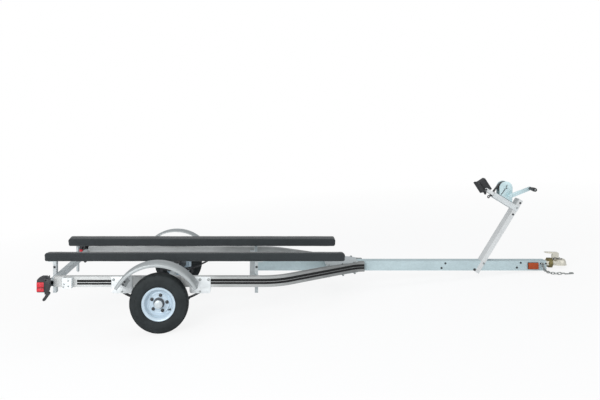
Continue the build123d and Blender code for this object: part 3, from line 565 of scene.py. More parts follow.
class Paint(Enum):
    """Every finish on the trailer."""

    RAIL = TapedRail("rail_zinc", srgb(208, 210, 209), "galvanized_steel")
    ZINC = Galvanized("frame_zinc", srgb(199, 206, 208), "galvanized_steel")
    TONGUE = Galvanized("tongue_zinc", srgb(196, 214, 218), "galvanized_steel")
    # Partly painted shade: the fender zinc is darker than the frame's zinc, standing in for weaker light on
    # the fenders' tops.
    FENDER = Galvanized("fender_zinc", srgb(169, 174, 175), "galvanized_steel")
    # Partly painted light: the hanger zinc is paler than the frame's zinc, standing in for stronger light on
    # the hangers and on the corner brackets.
    HANGER = Galvanized("hanger_zinc", srgb(238, 242, 243), "galvanized_steel", 0.4)
    ARM = Galvanized("arm_zinc", srgb(222, 227, 228), "galvanized_steel", 0.42, spangle=0.06)
    POST = Galvanized("post_zinc", srgb(222, 224, 224), "galvanized_steel", 0.45, spangle=0.08)
    WHEEL = Metal("wheel_enamel", srgb(192, 209, 221), "wheel_paint", 0.1, 0.36, mottle=0.05, coat=0.25)
    CAP = Metal("cap_steel", srgb(198, 206, 210), "galvanized_steel", 0.3, 0.4, mottle=0.08)
    HUB = Metal("hub_iron", srgb(120, 124, 128), "hub_steel", 0.5, 0.5, mottle=0.25)
    SPRING = Metal("spring_black", srgb(46, 47, 50), "black_steel", 0.2, 0.5, mottle=0.3)
    DARK_BOLT = Metal("bolt_dark", srgb(72, 74, 76), "black_steel", 0.6, mottle_scale=90)
    BOLT = Metal("bolt_zinc", srgb(176, 180, 180), "zinc_plate", 0.7, 0.34, mottle=0.15, mottle_scale=90)
    PLATE = Metal("winch_zinc", srgb(206, 228, 232), "zinc_plate", 0.35, 0.36, mottle=0.05)
    GEAR = Metal("gear_steel", srgb(150, 158, 162), "zinc_plate", 0.7, 0.38)
    BAR = Metal("bar_paint", srgb(224, 226, 226), "zinc_plate", 0.2, 0.4, mottle=0.06)
    CREAM = Metal("coupler_plating", srgb(226, 222, 208), "cream_zinc", 0.45, 0.34)
    OLIVE = Metal("collar_plating", srgb(128, 118, 78), "olive_zinc", 0.6, 0.4, mottle=0.3)
    CHAIN = Metal("chain_plating", srgb(158, 162, 160), "chain_zinc", 0.75, 0.32)
    BLACK = Plastic("moulded_black", srgb(44, 45, 47), "black_plastic", 0.4)
    BROWN = Plastic("marker_plastic", srgb(62, 48, 44), "black_plastic", 0.4)
    RUBBER = Plastic("stop_rubber", srgb(42, 43, 45), "black_rubber", 0.55)
    TYRE = Tyre("tyre_compound", srgb(44, 48, 49), "tyre_rubber")
    CARPET = Carpet("bunk_carpet", srgb(53, 57, 59), "carpet")
    STRAP = Webbing("strap_polyester", srgb(38, 42, 44), "strap_webbing")
    RED = Lens("red_polycarbonate", srgb(204, 26, 44), "red_lens")
    AMBER = Lens("amber_polycarbonate", srgb(176, 68, 4), "amber_lens", ribs=70.0)

    @property
    def material(self) -> bpy.types.Material:
        """The finish's material, made on first use."""
        return bpy.data.materials.get(self.value.name) or self.value.build()


# ------------------------------------------------------------------ modelling
class Bench:
    """Primitives, edit-mode steps and the finishing of pieces."""

    @staticmethod
    def clear() -> None:
        """Leaves edit mode and deselects everything."""
        if bpy.context.object and bpy.context.object.mode != "OBJECT":
            bpy.ops.object.mode_set(mode="OBJECT")
        bpy.ops.object.select_all(action="DESELECT")

    @staticmethod
    def only(piece: Piece) -> None:
        """Selects one piece and makes it the active one.

        Args:
            piece: The piece.
        """
        Bench.clear()
        piece.select_set(True)
        bpy.context.view_layer.objects.active = piece

    @staticmethod
    def settle() -> Piece:
        """Leaves edit mode and moves the active piece's place into its mesh.

        Returns:
            The piece.
        """
        piece = bpy.context.object
        if piece.mode != "OBJECT":
            bpy.ops.object.mode_set(mode="OBJECT")
        bpy.ops.object.transform_apply(location=True, rotation=True, scale=True)
        return piece

    @staticmethod
    def open_all() -> None:
        """Opens the active piece in edit mode with all of it selected."""
        bpy.ops.object.mode_set(mode="EDIT")
        bpy.ops.mesh.select_all(action="SELECT")

    @staticmethod
    def block(low: Sequence[float], high: Sequence[float], edge: float = 0.0, segments: int = 2) -> Piece:
        """Adds a cube primitive between two corners and rounds its edges.

        Args:
            low: Its lowest corner.
            high: Its highest corner.
            edge: Width of the rounded edges.
            segments: Segments across an edge.

        Returns:
            The new piece.
        """
        Bench.clear()
        centre = [(a + b) / 2 for a, b in zip(low, high)]
        size = [abs(b - a) for a, b in zip(low, high)]
        bpy.ops.mesh.primitive_cube_add(size=1, location=centre, scale=size)
        piece = Bench.settle()
        return Bench.bevel(piece, edge, segments) if edge else piece

    @staticmethod
    def drum(
        centre: Sequence[float],
        radius: float,
        depth: float,
        vertices: int = 32,
        edge: float = 0.0,
        axis: Sequence[float] = ACROSS,
    ) -> Piece:
        """Adds a cylinder primitive along an axis and rounds its rims.

        Args:
            centre: Its middle.
            radius: Its radius.
            depth: Its length.
            vertices: Points round it.
            edge: Width of the rounded rims.
            axis: The direction that it runs in.

        Returns:
            The new piece.
        """
        Bench.clear()
        turn = Vector(axis).to_track_quat("Z", "X").to_euler()
        bpy.ops.mesh.primitive_cylinder_add(
            vertices=vertices, radius=radius, depth=depth, location=centre, rotation=turn
        )
        piece = Bench.settle()
        return Bench.bevel(piece, edge, 2, 50.0) if edge else piece

    @staticmethod
    def trail(corners: Sequence[Vector], closed: bool = False) -> Piece:
        """Draws a line of edges: a plane merged to one point, extruded from corner to corner.

        Args:
            corners: The line's corners.
            closed: True to join its ends.

        Returns:
            The line, left in edit mode with all of it selected.
        """
        Bench.clear()
        bpy.ops.mesh.primitive_plane_add(size=0.001, location=corners[0])
        Bench.settle()
        bpy.ops.object.mode_set(mode="EDIT")
        bpy.ops.mesh.select_mode(type="VERT")
        bpy.ops.mesh.select_all(action="SELECT")
        bpy.ops.mesh.merge(type="CENTER")
        for here, there in zip(corners, corners[1:]):
            bpy.ops.mesh.extrude_vertices_move(TRANSFORM_OT_translate={"value": Vector(there) - Vector(here)})
        if closed:
            mesh = bmesh.from_edit_mesh(bpy.context.object.data)
            mesh.verts.ensure_lookup_table()
            mesh.verts[0].select_set(True)
            bmesh.update_edit_mesh(bpy.context.object.data)
            bpy.ops.mesh.edge_face_add()
        bpy.ops.mesh.select_all(action="SELECT")
        return bpy.context.object

    @staticmethod
    def plate(corners: Sequence[Vector], through: Vector, edge: float = 0.0, segments: int = 2) -> Piece:
        """Fills a closed outline and extrudes it through its thickness.

        Args:
            corners: The outline's corners.
            through: Direction and length of the extrusion.
            edge: Width of the rounded edges.
            segments: Segments across an edge.

        Returns:
            The new piece.
        """
        piece = Bench.trail(corners, closed=True)
        bpy.ops.mesh.edge_face_add()
        bpy.ops.mesh.extrude_region_move(TRANSFORM_OT_translate={"value": through})
        Bench.outward()
        return Bench.bevel(piece, edge, segments) if edge else piece

    @staticmethod
    def spun(
        corners: Sequence[Vector],
        centre: Vector,
        axis: Sequence[float] = ACROSS,
        degrees: float = 360.0,
        steps: int = 64,
        closed: bool = False,
    ) -> Piece:
        """Spins a line of edges about an axis.

        Args:
            corners: The line's corners.
            centre: A point on the axis.
            axis: The axis.
            degrees: How far it is spun.
            steps: Steps of the spin.
            closed: True to join the line's ends first.

        Returns:
            The new piece.
        """
        piece = Bench.trail(corners, closed)
        bpy.ops.mesh.spin(steps=steps, angle=math.radians(degrees), center=centre, axis=axis)
        bpy.ops.mesh.select_all(action="SELECT")
        bpy.ops.mesh.remove_doubles(threshold=1e-6)
        Bench.outward()
        return piece

    @staticmethod
    def outward() -> None:
        """Turns the active piece's faces outward and leaves edit mode."""
        bpy.ops.mesh.select_all(action="SELECT")
        bpy.ops.mesh.normals_make_consistent(inside=False)
        bpy.ops.object.mode_set(mode="OBJECT")

    @staticmethod
    def hulled(parts: Sequence[Piece], edge: float = 0.0) -> Piece:
        """Joins pieces and wraps them in their convex hull.

        Args:
            parts: The pieces.
            edge: Width of the rounded edges.

        Returns:
            The hull.
        """
        piece = Bench.joined(parts)
        Bench.open_all()
        bpy.ops.mesh.convex_hull()
        Bench.outward()
        return Bench.bevel(piece, edge, 2, 50.0) if edge else piece

    @staticmethod
    def wire(points: Sequence[Vector], radius: float, closed: bool = False, sides: int = 3) -> Piece:
        """Bends a round wire along a smooth line.

        Args:
            points: The line's control points.
            radius: The wire's radius.
            closed: True for a ring.
            sides: Roundness of the wire.

        Returns:
            The wire as a mesh.
        """
        Bench.clear()
        bpy.ops.curve.primitive_nurbs_path_add()
        curve = bpy.context.object.data
        curve.splines.clear()
        spline = curve.splines.new("NURBS")
        spline.points.add(len(points) - 1)
        for point, place in zip(spline.points, points):
            point.co = (*place, 1.0)
        spline.use_cyclic_u = closed
        spline.use_endpoint_u = not closed
        spline.order_u = 3
        spline.resolution_u = 6
        curve.dimensions = "3D"
        curve.bevel_depth = radius
        curve.bevel_resolution = sides
        curve.use_fill_caps = True
        bpy.ops.object.convert(target="MESH")
        piece = Bench.settle()
        Bench.open_all()
        bpy.ops.mesh.remove_doubles(threshold=1e-6)
        Bench.outward()
        return piece

    @staticmethod
    def bevel(piece: Piece, width: float, segments: int = 2, angle: float = 40.0) -> Piece:
        """Rounds the edges that are sharper than an angle, in degrees."""
        limit = {"limit_method": "ANGLE", "angle_limit": math.radians(angle)}
        return Bench.modified(piece, "BEVEL", {"width": width, "segments": segments, **limit})

    @staticmethod
    def modified(piece: Piece, kind: str, settings: dict[str, object]) -> Piece:
        """Adds a modifier and applies it.

        Args:
            piece: The piece.
            kind: The modifier's type.
            settings: Its properties.

        Returns:
            The piece.
        """
        Bench.only(piece)
        modifier = piece.modifiers.new(kind.lower(), kind)
        for key, value in settings.items():
            setattr(modifier, key, value)
        bpy.ops.object.modifier_apply(modifier=modifier.name)
        return piece

    @staticmethod
    def cut(piece: Piece, tool: Piece) -> Piece:
        """Takes one piece's shape out of another.

        Args:
            piece: The piece that is cut.
            tool: The piece that cuts it, which goes away.

        Returns:
            The cut piece.
        """
        Bench.modified(piece, "BOOLEAN", {"object": tool, "operation": "DIFFERENCE", "solver": "EXACT"})
        bpy.data.objects.remove(tool)
        return piece

    @staticmethod
    def pick(piece: Piece, kind: str, test: Callable[[object], bool]) -> None:
        """Opens the piece in edit mode with only the chosen elements selected.

        Args:
            piece: The piece.
            kind: VERT, EDGE or FACE.
            test: True for an element that is selected.
        """
        Bench.only(piece)
        bpy.ops.object.mode_set(mode="EDIT")
        bpy.ops.mesh.select_mode(type=kind)
        bpy.ops.mesh.select_all(action="DESELECT")
        mesh = bmesh.from_edit_mesh(piece.data)
        elements = {"VERT": mesh.verts, "EDGE": mesh.edges, "FACE": mesh.faces}[kind]
        for element in [element for element in elements if test(element)]:
            element.select_set(True)
        bmesh.update_edit_mesh(piece.data)

    @staticmethod
    def joined(parts: Sequence[Piece]) -> Piece:
        """Joins pieces into the first of them.

        Args:
            parts: The pieces.

        Returns:
            The first of them, with all their meshes.
        """
        Bench.clear()
        for part in parts:
            part.select_set(True)
        bpy.context.view_layer.objects.active = parts[0]
        bpy.ops.object.join()
        return parts[0]

    @staticmethod
    def copies(source: Piece, places: Iterable[Matrix]) -> Piece:
        """Copies a piece to each place and joins the copies; the source goes away.

        Args:
            source: The piece, drawn about the origin.
            places: One matrix for each copy.

        Returns:
            The joined copies.
        """
        made = []
        for place in places:
            copy = source.copy()
            copy.data = source.data.copy()
            copy.data.transform(place)
            bpy.context.scene.collection.objects.link(copy)
            made.append(copy)
        bpy.data.objects.remove(source)
        return Bench.joined(made)

    @staticmethod
    def facing(place: Sequence[float], normal: Sequence[float], spin: float = 0.0) -> Matrix:
        """Matrix that stands a piece drawn along +Z on a place along a normal, and spins it."""
        turn = Vector(normal).to_track_quat("Z", "X").to_matrix().to_4x4()
        return Matrix.Translation(place) @ turn @ Matrix.Rotation(math.radians(spin), 4, "Z")

    @staticmethod
    def stack(layers: Sequence[tuple[float, float, float, int, float]]) -> Piece:
        """Joins upright round bars, each given by its middle, radius, length, corners and edge."""
        return Bench.joined([Bench.drum((0, 0, middle), *shape, axis=UP) for middle, *shape in layers])

    @staticmethod
    def finish(
        parts: "Piece | Sequence[Piece]",
        name: str,
        paint: Paint,
        stands_for: Sequence[str] = (),
        body: Body = Body.TRAILER,
        slot: str = "",
        smooth: float = 35.0,
        level: bool = True,
    ) -> None:
        """Joins, names, tips and paints a finished piece and hangs it on its body.

        Args:
            parts: The piece, or the parts that it is joined from.
            name: Its name.
            paint: Its finish.
            stands_for: Nodes that it replaces.
            body: The body that carries it.
            slot: The record's material slot, where it isn't the finish's own; not used.
            smooth: Edges flatter than this many degrees are shaded smooth.
            level: True where it was drawn in the level frame.
        """
        piece = parts if isinstance(parts, bpy.types.Object) else Bench.joined(parts)
        slot = slot or paint.value.slot
        Bench.only(piece)
        bpy.ops.object.shade_smooth_by_angle(angle=math.radians(smooth))
        if level:
            piece.data.transform(LEVEL.to_model)
        piece.name = name
        piece.data.name = name
        piece.data.materials.clear()
        piece.data.materials.append(paint.material)
        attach(piece, body.value)
        if stands_for:
            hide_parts(*stands_for)
        LOG.info("%s: %d faces on %s", name, len(piece.data.polygons), body.value)


@dataclass
class Sided:
    """A part that stands on both sides, drawn by its distance from the trailer's middle."""

    side: Side

    @property
    def word(self) -> str:
        """The side's name."""
        return self.side.word

    def spot(self, x: float, across: float, z: float) -> Vector:
        """Point from its place along, its distance from the middle and its height."""
        return Vector((x, self.side.value * across, z))

    def block(self, x: Sequence[float], across: Sequence[float], z: Sequence[float], *edge: float) -> Piece:
        """Block between two places along, two distances from the middle and two heights."""
        return Bench.block(self.spot(x[0], across[0], z[0]), self.spot(x[1], across[1], z[1]), *edge)

    def plate(self, outline: Pairs, start: float, wall: float, edge: float = 0.0) -> Piece:
        """Plate with an outline in the side view, from one distance outward."""
        corners = [self.spot(x, start, z) for x, z in outline]
        return Bench.plate(corners, self.spot(0, wall, 0), edge)


# ------------------------------------------------------------------ wheels
@dataclass
class Wheel(Sided):
    """One road wheel: tyre, pressed-steel wheel, lug nuts, valve and hub."""

    line: float = 0.620
    axle: float = 0.210
    steps: int = 120
    lug_circle: float = 0.05715
    lug_turn: float = 80.0
    groove_sway: float = 0.0016
    # where grooves and notches lie: nearest and farthest from the wheel's middle, least radius
    groove: tuple[float, float, float] = (0.01, 0.0408, 0.2)
    notch: tuple[float, float, float] = (0.0455, 0.0512, 0.198)
    notch_rim: float = 0.0006
    notch_depth: float = 0.0022
    seat: float = 0.010
    valve_root: tuple[float, float, float] = (0.014, 0.0905, -28)
    valve_lean: float = 4.0
    # sections, as (distance outboard of the wheel's middle, radius)
    tyre_wall: ClassVar[Pairs] = (
        (0.0400, 0.1030), (0.0428, 0.1130), (0.0462, 0.1200), (0.0500, 0.1242), (0.0545, 0.1300),
        (0.0578, 0.1385), (0.0596, 0.1490), (0.0600, 0.1580), (0.0594, 0.1665), (0.0602, 0.1672),
        (0.0600, 0.1692), (0.0588, 0.1700), (0.0573, 0.1785), (0.0550, 0.1868), (0.0523, 0.1938),
        (0.0500, 0.1984), (0.0482, 0.2020), (0.0450, 0.2046), (0.0405, 0.2058), (0.0395, 0.2010),
        (0.0355, 0.2012), (0.0345, 0.2074), (0.0190, 0.2092), (0.0182, 0.2030), (0.0138, 0.2032),
        (0.0130, 0.2097), (0.0, 0.2100),
    )
    rim: ClassVar[Pairs] = (
        (0.0440, 0.1050), (0.0456, 0.1130), (0.0478, 0.1162), (0.0474, 0.1186), (0.0450, 0.1194),
        (0.0432, 0.1178), (0.0426, 0.1120), (0.0412, 0.1045), (0.0380, 0.1018),
    )
    disc: ClassVar[Pairs] = (
        (0.0060, 0.0985), (0.0020, 0.0860), (0.0055, 0.0760), (0.0060, 0.0390), (0.0100, 0.0390),
        (0.0112, 0.0405), (0.0110, 0.0470), (0.0100, 0.0485), (0.0100, 0.0660), (0.0112, 0.0680),
        (0.0120, 0.0725), (0.0105, 0.0760), (0.0080, 0.0800), (0.0085, 0.0850), (0.0130, 0.0895),
        (0.0200, 0.0940), (0.0270, 0.0972), (0.0380, 0.0985),
    )
    disc_back: ClassVar[Pairs] = ((-0.0400, 0.0990), (-0.0360, 0.0985))
    hub: ClassVar[Pairs] = (
        (-0.042, 0.0143), (-0.042, 0.0270), (-0.040, 0.0290), (-0.006, 0.0290), (-0.002, 0.0330),
        (-0.002, 0.0665), (-0.0005, 0.0680), (0.0058, 0.0680), (0.0058, 0.0300), (0.0300, 0.0292),
        (0.0440, 0.0288), (0.0440, 0.0143),
    )
    cap: ClassVar[Pairs] = (
        (0.0440, 0.0), (0.0440, 0.0286), (0.0470, 0.0292), (0.0486, 0.0284), (0.0496, 0.0262),
        (0.0500, 0.0225), (0.0514, 0.0205), (0.0522, 0.0150), (0.0524, 0.0),
    )
    # skirt, nut and stud of a lug, as (middle, radius, length, corners, rounded edge)
    lug: ClassVar[Bars] = (
        (0.0015, 0.0122, 0.003, 24, 0.0006), (0.0065, 0.0108, 0.010, 6, 0.0012),
        (0.0090, 0.0060, 0.012, 16, 0.0010),
    )
    # stem and screwed cap of the valve, as (distance along it, radius)
    valve: ClassVar[tuple[Pairs, Pairs]] = (
        ((0.0, 0.0), (0.0, 0.0072), (0.004, 0.0066), (0.012, 0.0046), (0.030, 0.0040), (0.031, 0.0)),
        ((0.026, 0.0), (0.026, 0.0044), (0.036, 0.0040), (0.037, 0.0)),
    )

    @property
    def centre(self) -> Vector:
        """Middle of the wheel."""
        return self.spot(0, self.line, self.axle)

    @property
    def body(self) -> Body:
        """The body that the wheel is."""
        return Body.WHEEL_LEFT if self.side is Side.LEFT else Body.WHEEL_RIGHT

    @property
    def outboard(self) -> Vector:
        """Unit vector away from the trailer."""
        return self.spot(0, 1, 0)

    def at(self, out: float, radius: float, degrees: float = 90.0) -> Vector:
        """Point of the wheel from its distance outboard, its radius and its bearing."""
        return self.centre + self.outboard * out + polar(radius, degrees)

    def ring(self, section: Pairs, steps: int, closed: bool = True) -> Piece:
        """Spins a section about the axle."""
        corners = [self.at(*corner) for corner in section]
        return Bench.spun(corners, self.centre, steps=steps, closed=closed)

    def in_band(self, place: Vector, band: Sequence[float], every: int, first: int) -> bool:
        """Whether a point of the tread lies in a band and on one of every few steps of the spin.

        Args:
            place: The point.
            band: Nearest and farthest from the wheel's middle, and least radius.
            every: Steps from one chosen step to the next.
            first: The first chosen step.

        Returns:
            True where it does.
        """
        arm = place - self.centre
        step = round(math.atan2(place.z - self.axle, place.x) / math.tau * self.steps) % self.steps
        return band[0] < abs(arm.y) < band[1] and arm.xz.length > band[2] and step % every == first

    def build(self) -> None:
        """Builds the whole wheel."""
        self.add_tyre()
        self.add_disc()
        self.add_nuts()
        self.add_hub()
        self.add_valve()

    def add_tyre(self) -> None:
        """Adds the tyre with its swaying tread grooves and notched shoulders."""
        half = self.tyre_wall
        piece = self.ring([*half, *[(-out, radius) for out, radius in reversed(half) if out > 0]], self.steps)
        for sway, first in ((self.groove_sway, 0), (-self.groove_sway, 2)):
            Bench.pick(piece, "VERT", lambda v: self.in_band(v.co, self.groove, 4, first))
            bpy.ops.transform.translate(value=(0, sway, 0))
        Bench.pick(piece, "FACE", lambda f: self.in_band(f.calc_center_median(), self.notch, 3, 0))
        bpy.ops.mesh.inset(thickness=self.notch_rim, depth=-self.notch_depth, use_individual=True)
        bpy.ops.object.mode_set(mode="OBJECT")
        name = f"tyre_{self.word}"
        Bench.finish(piece, f"{name}_tread", Paint.TYRE, [name], self.body, smooth=32.0)

    def add_disc(self) -> None:
        """Adds the rim with its rolled lips and the dished disc."""
        inner = [(-out, radius) for out, radius in reversed(self.rim)]
        piece = self.ring([*self.disc, *self.rim, *inner, *self.disc_back], 96)
        name = f"wheel_{self.word}"
        Bench.finish(piece, f"{name}_rim", Paint.WHEEL, [name], self.body, smooth=28.0)

    def add_nuts(self) -> None:
        """Adds the five lug nuts on their studs."""
        places = []
        for number in range(5):
            turn = self.lug_turn + 72 * number
            places.append(Bench.facing(self.at(self.seat, self.lug_circle, turn), self.outboard, turn))
        piece = Bench.copies(Bench.stack(self.lug), places)
        # Painted shade: the nuts take the dark bolt finish, standing in for the shade in the wheel's lug
        # dimples.
        Bench.finish(piece, f"lug_nuts_{self.word}", Paint.DARK_BOLT, (), self.body)

    def add_hub(self) -> None:
        """Adds the cast hub and its pressed cap."""
        name = f"hub_{self.word}"
        Bench.finish(self.ring(self.hub, 48), f"{name}_cast", Paint.HUB, [name], self.body)
        Bench.finish(self.ring(self.cap, 48, False), f"{name}_cap", Paint.CAP, (), self.body)

    def add_valve(self) -> None:
        """Adds the rubber valve with its screwed cap."""
        root = self.at(*self.valve_root)
        lean = (self.outboard + (self.centre - root) * self.valve_lean).normalized()
        across = lean.orthogonal().normalized()
        parts = []
        for section in self.valve:
            corners = [root + lean * along + across * radius for along, radius in section]
            parts.append(Bench.spun(corners, root, lean, steps=16))
        Bench.finish(parts, f"valve_{self.word}", Paint.RUBBER, (), self.body, "tyre_rubber")


@dataclass
class Fender(Sided):
    """One open fender: rolled sheet with a swaged groove and a beaded lip, on two feet."""

    centre: tuple[float, float, float] = (-0.017, 0, 0.167)
    first: float = 28.5
    last: float = 151.5
    foot: float = 12.0
    wall: float = 0.0017
    # sections, as (distance from the trailer's middle, radius)
    sheet: ClassVar[Pairs] = (
        (0.5490, 0.3240), (0.5490, 0.3285), (0.5502, 0.3304), (0.5530, 0.3310), (0.6020, 0.3310),
        (0.6560, 0.3310), (0.6580, 0.3292), (0.6612, 0.3281), (0.6644, 0.3292), (0.6664, 0.3308),
        (0.6760, 0.3306), (0.6806, 0.3292), (0.6840, 0.3258), (0.6856, 0.3210), (0.6860, 0.3130),
        (0.6856, 0.3096), (0.6838, 0.3082), (0.6820, 0.3094), (0.6818, 0.3118),
    )
    angle: ClassVar[Pairs] = ((0.5500, 0.3292), (0.5345, 0.3292), (0.5318, 0.3262), (0.5318, 0.2700))

    def arc(self, section: Pairs, first: float, last: float, steps: int) -> Piece:
        """Spins a section from one bearing to another and gives it its sheet's thickness.

        Args:
            section: The section.
            first: Bearing where the arc starts, in degrees.
            last: Bearing where it ends.
            steps: Steps of the spin.

        Returns:
            The arc.
        """
        centre = Vector(self.centre)
        corners = [centre + self.spot(0, across, 0) + polar(radius, first) for across, radius in section]
        piece = Bench.spun(corners, centre, ACROSS, last - first, steps)
        settings = {"thickness": self.wall, "offset": 0.0, "use_even_offset": True}
        return Bench.modified(piece, "SOLIDIFY", settings)

    def build(self) -> None:
        """Builds the arch and its feet."""
        name = f"fender_{self.word}"
        arch = self.arc(self.sheet, self.first, self.last, 72)
        Bench.finish(arch, f"{name}_arch", Paint.FENDER, [name])
        feet = [self.arc(self.angle, low, low + self.foot, 8) for low in (self.first, self.last - self.foot)]
        Bench.finish(feet, f"{name}_feet", Paint.FENDER)


@dataclass
class Suspension(Sided):
    """Spring hangers with their folded flanges, and the springs' clips, on one side."""

    outer: float = 0.530
    inner: float = 0.476
    spread: float = 0.282
    half: float = 0.076
    rail_low: float = 0.295
    rail_high: float = 0.371
    low: float = 0.251
    wall: float = 0.005
    round_off: float = 0.016
    clip_reach: float = 0.135
    clip_half: float = 0.009
    clip_low: float = 0.1485
    clip_sides: tuple[float, float] = (0.4795, 0.5265)

    def build(self) -> None:
        """Builds the hangers and the springs' small pieces."""
        for word, middle in (("front", self.spread), ("rear", -self.spread)):
            self.add_hanger(word, middle)
        self.add_clips()

    def cheek(self, middle: float, near: float, top: float) -> Piece:
        """One hanger cheek with round lower corners.

        Args:
            middle: Its middle along the trailer.
            near: Its inboard face.
            top: Its upper edge.

        Returns:
            The cheek.
        """
        outline = [(middle - self.half, top), (middle + self.half, top)]
        for end, first in ((1, 0), (-1, 90)):
            x = middle + end * (self.half - self.round_off)
            for step in range(7):
                reach = polar(self.round_off, -first - 15 * step)
                outline.append((x + reach.x, self.low + self.round_off + reach.z))
        return self.plate(outline, near, self.wall, 0.001)

    def add_hanger(self, word: str, middle: float) -> None:
        """Adds one hanger: recessed lower cheeks, the folded plate on the rail and the web.

        Args:
            word: Front or rear.
            middle: Its middle along the trailer.
        """
        parts = [
            self.cheek(middle, self.outer - self.wall - 0.0012, self.rail_low + 0.002),
            self.cheek(middle, self.inner, self.rail_low),
        ]
        outer, low = self.outer, self.rail_low
        for across, heights, edge in (
            ((outer - self.wall, outer), (low - 0.002, self.rail_high), 0.0012),
            ((self.inner, outer - 0.001), (low - self.wall, low), 0.0012),
            ((outer - 0.001, outer + 0.0008), (low - 0.0035, low + 0.0015), 0.0009),
        ):
            parts.append(self.block((middle - self.half, middle + self.half), across, heights, edge))
        node = f"hanger_{word}_{self.word}"
        Bench.finish(parts, f"{node}_plates", Paint.HANGER, [node])

    def add_clips(self) -> None:
        """Adds the two clips that hold the leaves together."""
        near, far = self.clip_sides
        low = self.clip_low
        parts = [
            self.block((along - self.clip_half, along + self.clip_half), across, heights, 0.0008)
            for along in (-self.clip_reach, self.clip_reach)
            for across, heights in (
                ((near - 0.0015, near + 0.002), (low, low + 0.030)),
                ((far - 0.002, far + 0.0015), (low, low + 0.030)),
                ((near, far), (low + 0.026, low + 0.0295)),
            )
        ]
        Bench.finish(parts, f"spring_clips_{self.word}", Paint.SPRING)


# ------------------------------------------------------------------ bunks
@dataclass
class Bunk(Sided):
    """One carpeted bunk: rounded board, carpet folded over its ends and lapped underneath."""

    front: float = 1.350
    rears: ClassVar[dict[Side, float]] = {Side.LEFT: -0.878, Side.RIGHT: -0.897}
    width: float = 0.096
    wall: float = 0.062
    line: float = 0.290
    middle: float = 0.463
    tilt: float = 6.0
    edge: float = 0.012
    waviness: float = 0.0022
    wave_size: float = 0.09
    crown: float = 0.004
    crown_rim: float = 0.010
    fold_wall: float = 0.0075
    lap_sides: tuple[float, float] = (-0.004, 0.026)
    lap_heights: tuple[float, float] = (-0.0338, -0.029)
    lap_inset: float = 0.02
    # a folded end, as shares of the board's half width and half height
    fold: ClassVar[Pairs] = ((-0.95, 0.62), (0.95, 0.62), (0.55, -0.88), (-0.55, -0.88))

    @property
    def length(self) -> float:
        """How long the bunk is."""
        return self.front - self.rears[self.side]

    def build(self) -> None:
        """Builds the bunk along +X from its rear end and sets it in its place."""
        folds = [self.end_fold(0.0, -1), self.end_fold(self.length, 1)]
        piece = Bench.joined([self.wrapped_board(), *folds, self.lap()])
        turn = Matrix.Rotation(self.side.value * math.radians(self.tilt), 4, "X")
        place = self.spot(self.rears[self.side], self.line, self.middle)
        piece.data.transform(Matrix.Translation(place) @ turn)
        name = f"bunk_{self.word}"
        Bench.finish(piece, f"{name}_carpet", Paint.CARPET, [name], smooth=50.0)

    def wrapped_board(self) -> Piece:
        """The board in its carpet, with crowned ends and a slightly uneven pile.

        Returns:
            The board.
        """
        half, high = self.width / 2, self.wall / 2
        piece = Bench.block((0, -half, -high), (self.length, half, high))
        Bench.pick(piece, "FACE", lambda f: abs(f.normal.x) > 0.9)
        bpy.ops.mesh.inset(thickness=self.crown_rim, depth=self.crown, use_individual=True)
        bpy.ops.object.mode_set(mode="OBJECT")
        Bench.bevel(piece, self.edge, 4, 50.0)
        Bench.pick(piece, "EDGE", lambda e: abs((e.verts[1].co - e.verts[0].co).normalized().x) > 0.999)
        bpy.ops.mesh.subdivide(number_cuts=110)
        bpy.ops.object.mode_set(mode="OBJECT")
        clouds = bpy.data.textures.new(f"carpet_folds_{self.word}", "CLOUDS")
        clouds.noise_scale = self.wave_size
        settings = {"texture": clouds, "texture_coords": "LOCAL", "strength": self.waviness}
        return Bench.modified(piece, "DISPLACE", {**settings, "mid_level": 0.5})

    def end_fold(self, end: float, way: int) -> Piece:
        """Carpet folded over one end like a parcel's, with its corners tucked in.

        Args:
            end: Where the end lies along the bunk.
            way: 1 at the front end, -1 at the rear one.

        Returns:
            The fold.
        """
        half, high = self.width / 2, self.wall / 2
        corners = [Vector((end - way * 0.001, half * y, high * z)) for y, z in self.fold]
        return Bench.plate(corners, ALONG * way * self.fold_wall, 0.0034, 3)

    def lap(self) -> Piece:
        """The carpet's lapped edge along the underside, between the saddles."""
        (near, far), (low, high), inset = self.lap_sides, self.lap_heights, self.lap_inset
        return Bench.block((inset, near, low), (self.length - inset, far, high), 0.0014)


# ------------------------------------------------------------------ winch
@dataclass(frozen=True)
class Mast:
    """The raked winch post's own directions and places."""

    lean: float = math.radians(31.5)
    foot: tuple[float, float, float] = (2.459, 0.0, 0.270)
    arm_up: float = 0.579

    def on_arm(self, along: float, rise: float, across: float = 0.0) -> Vector:
        """Point near the arm.

        Args:
            along: Distance along the arm, away from the post.
            rise: Distance above it, up the post.
            across: Distance to the left.

        Returns:
            The point.
        """
        up = Vector((math.sin(self.lean), 0, math.cos(self.lean)))
        back = Vector((-math.cos(self.lean), 0, math.sin(self.lean)))
        root = Vector(self.foot) + up * self.arm_up
        return root + back * along + up * rise + ACROSS * across

    def slab(self, span: Sequence[float], heights: Sequence[float], across: float, *wall: float) -> Piece:
        """Plate lying along the arm.

        Args:
            span: Where it starts and ends along the arm.
            heights: Its underside and its top.
            across: Its right edge.
            wall: Its width to the left, and the width of its rounded edges.

        Returns:
            The plate.
        """
        near, far = span
        low, high = heights
        outline = ((near, low), (far, low), (far, high), (near, high))
        corners = [self.on_arm(along, rise, across) for along, rise in outline]
        return Bench.plate(corners, ACROSS * wall[0], *wall[1:])


MAST = Mast()


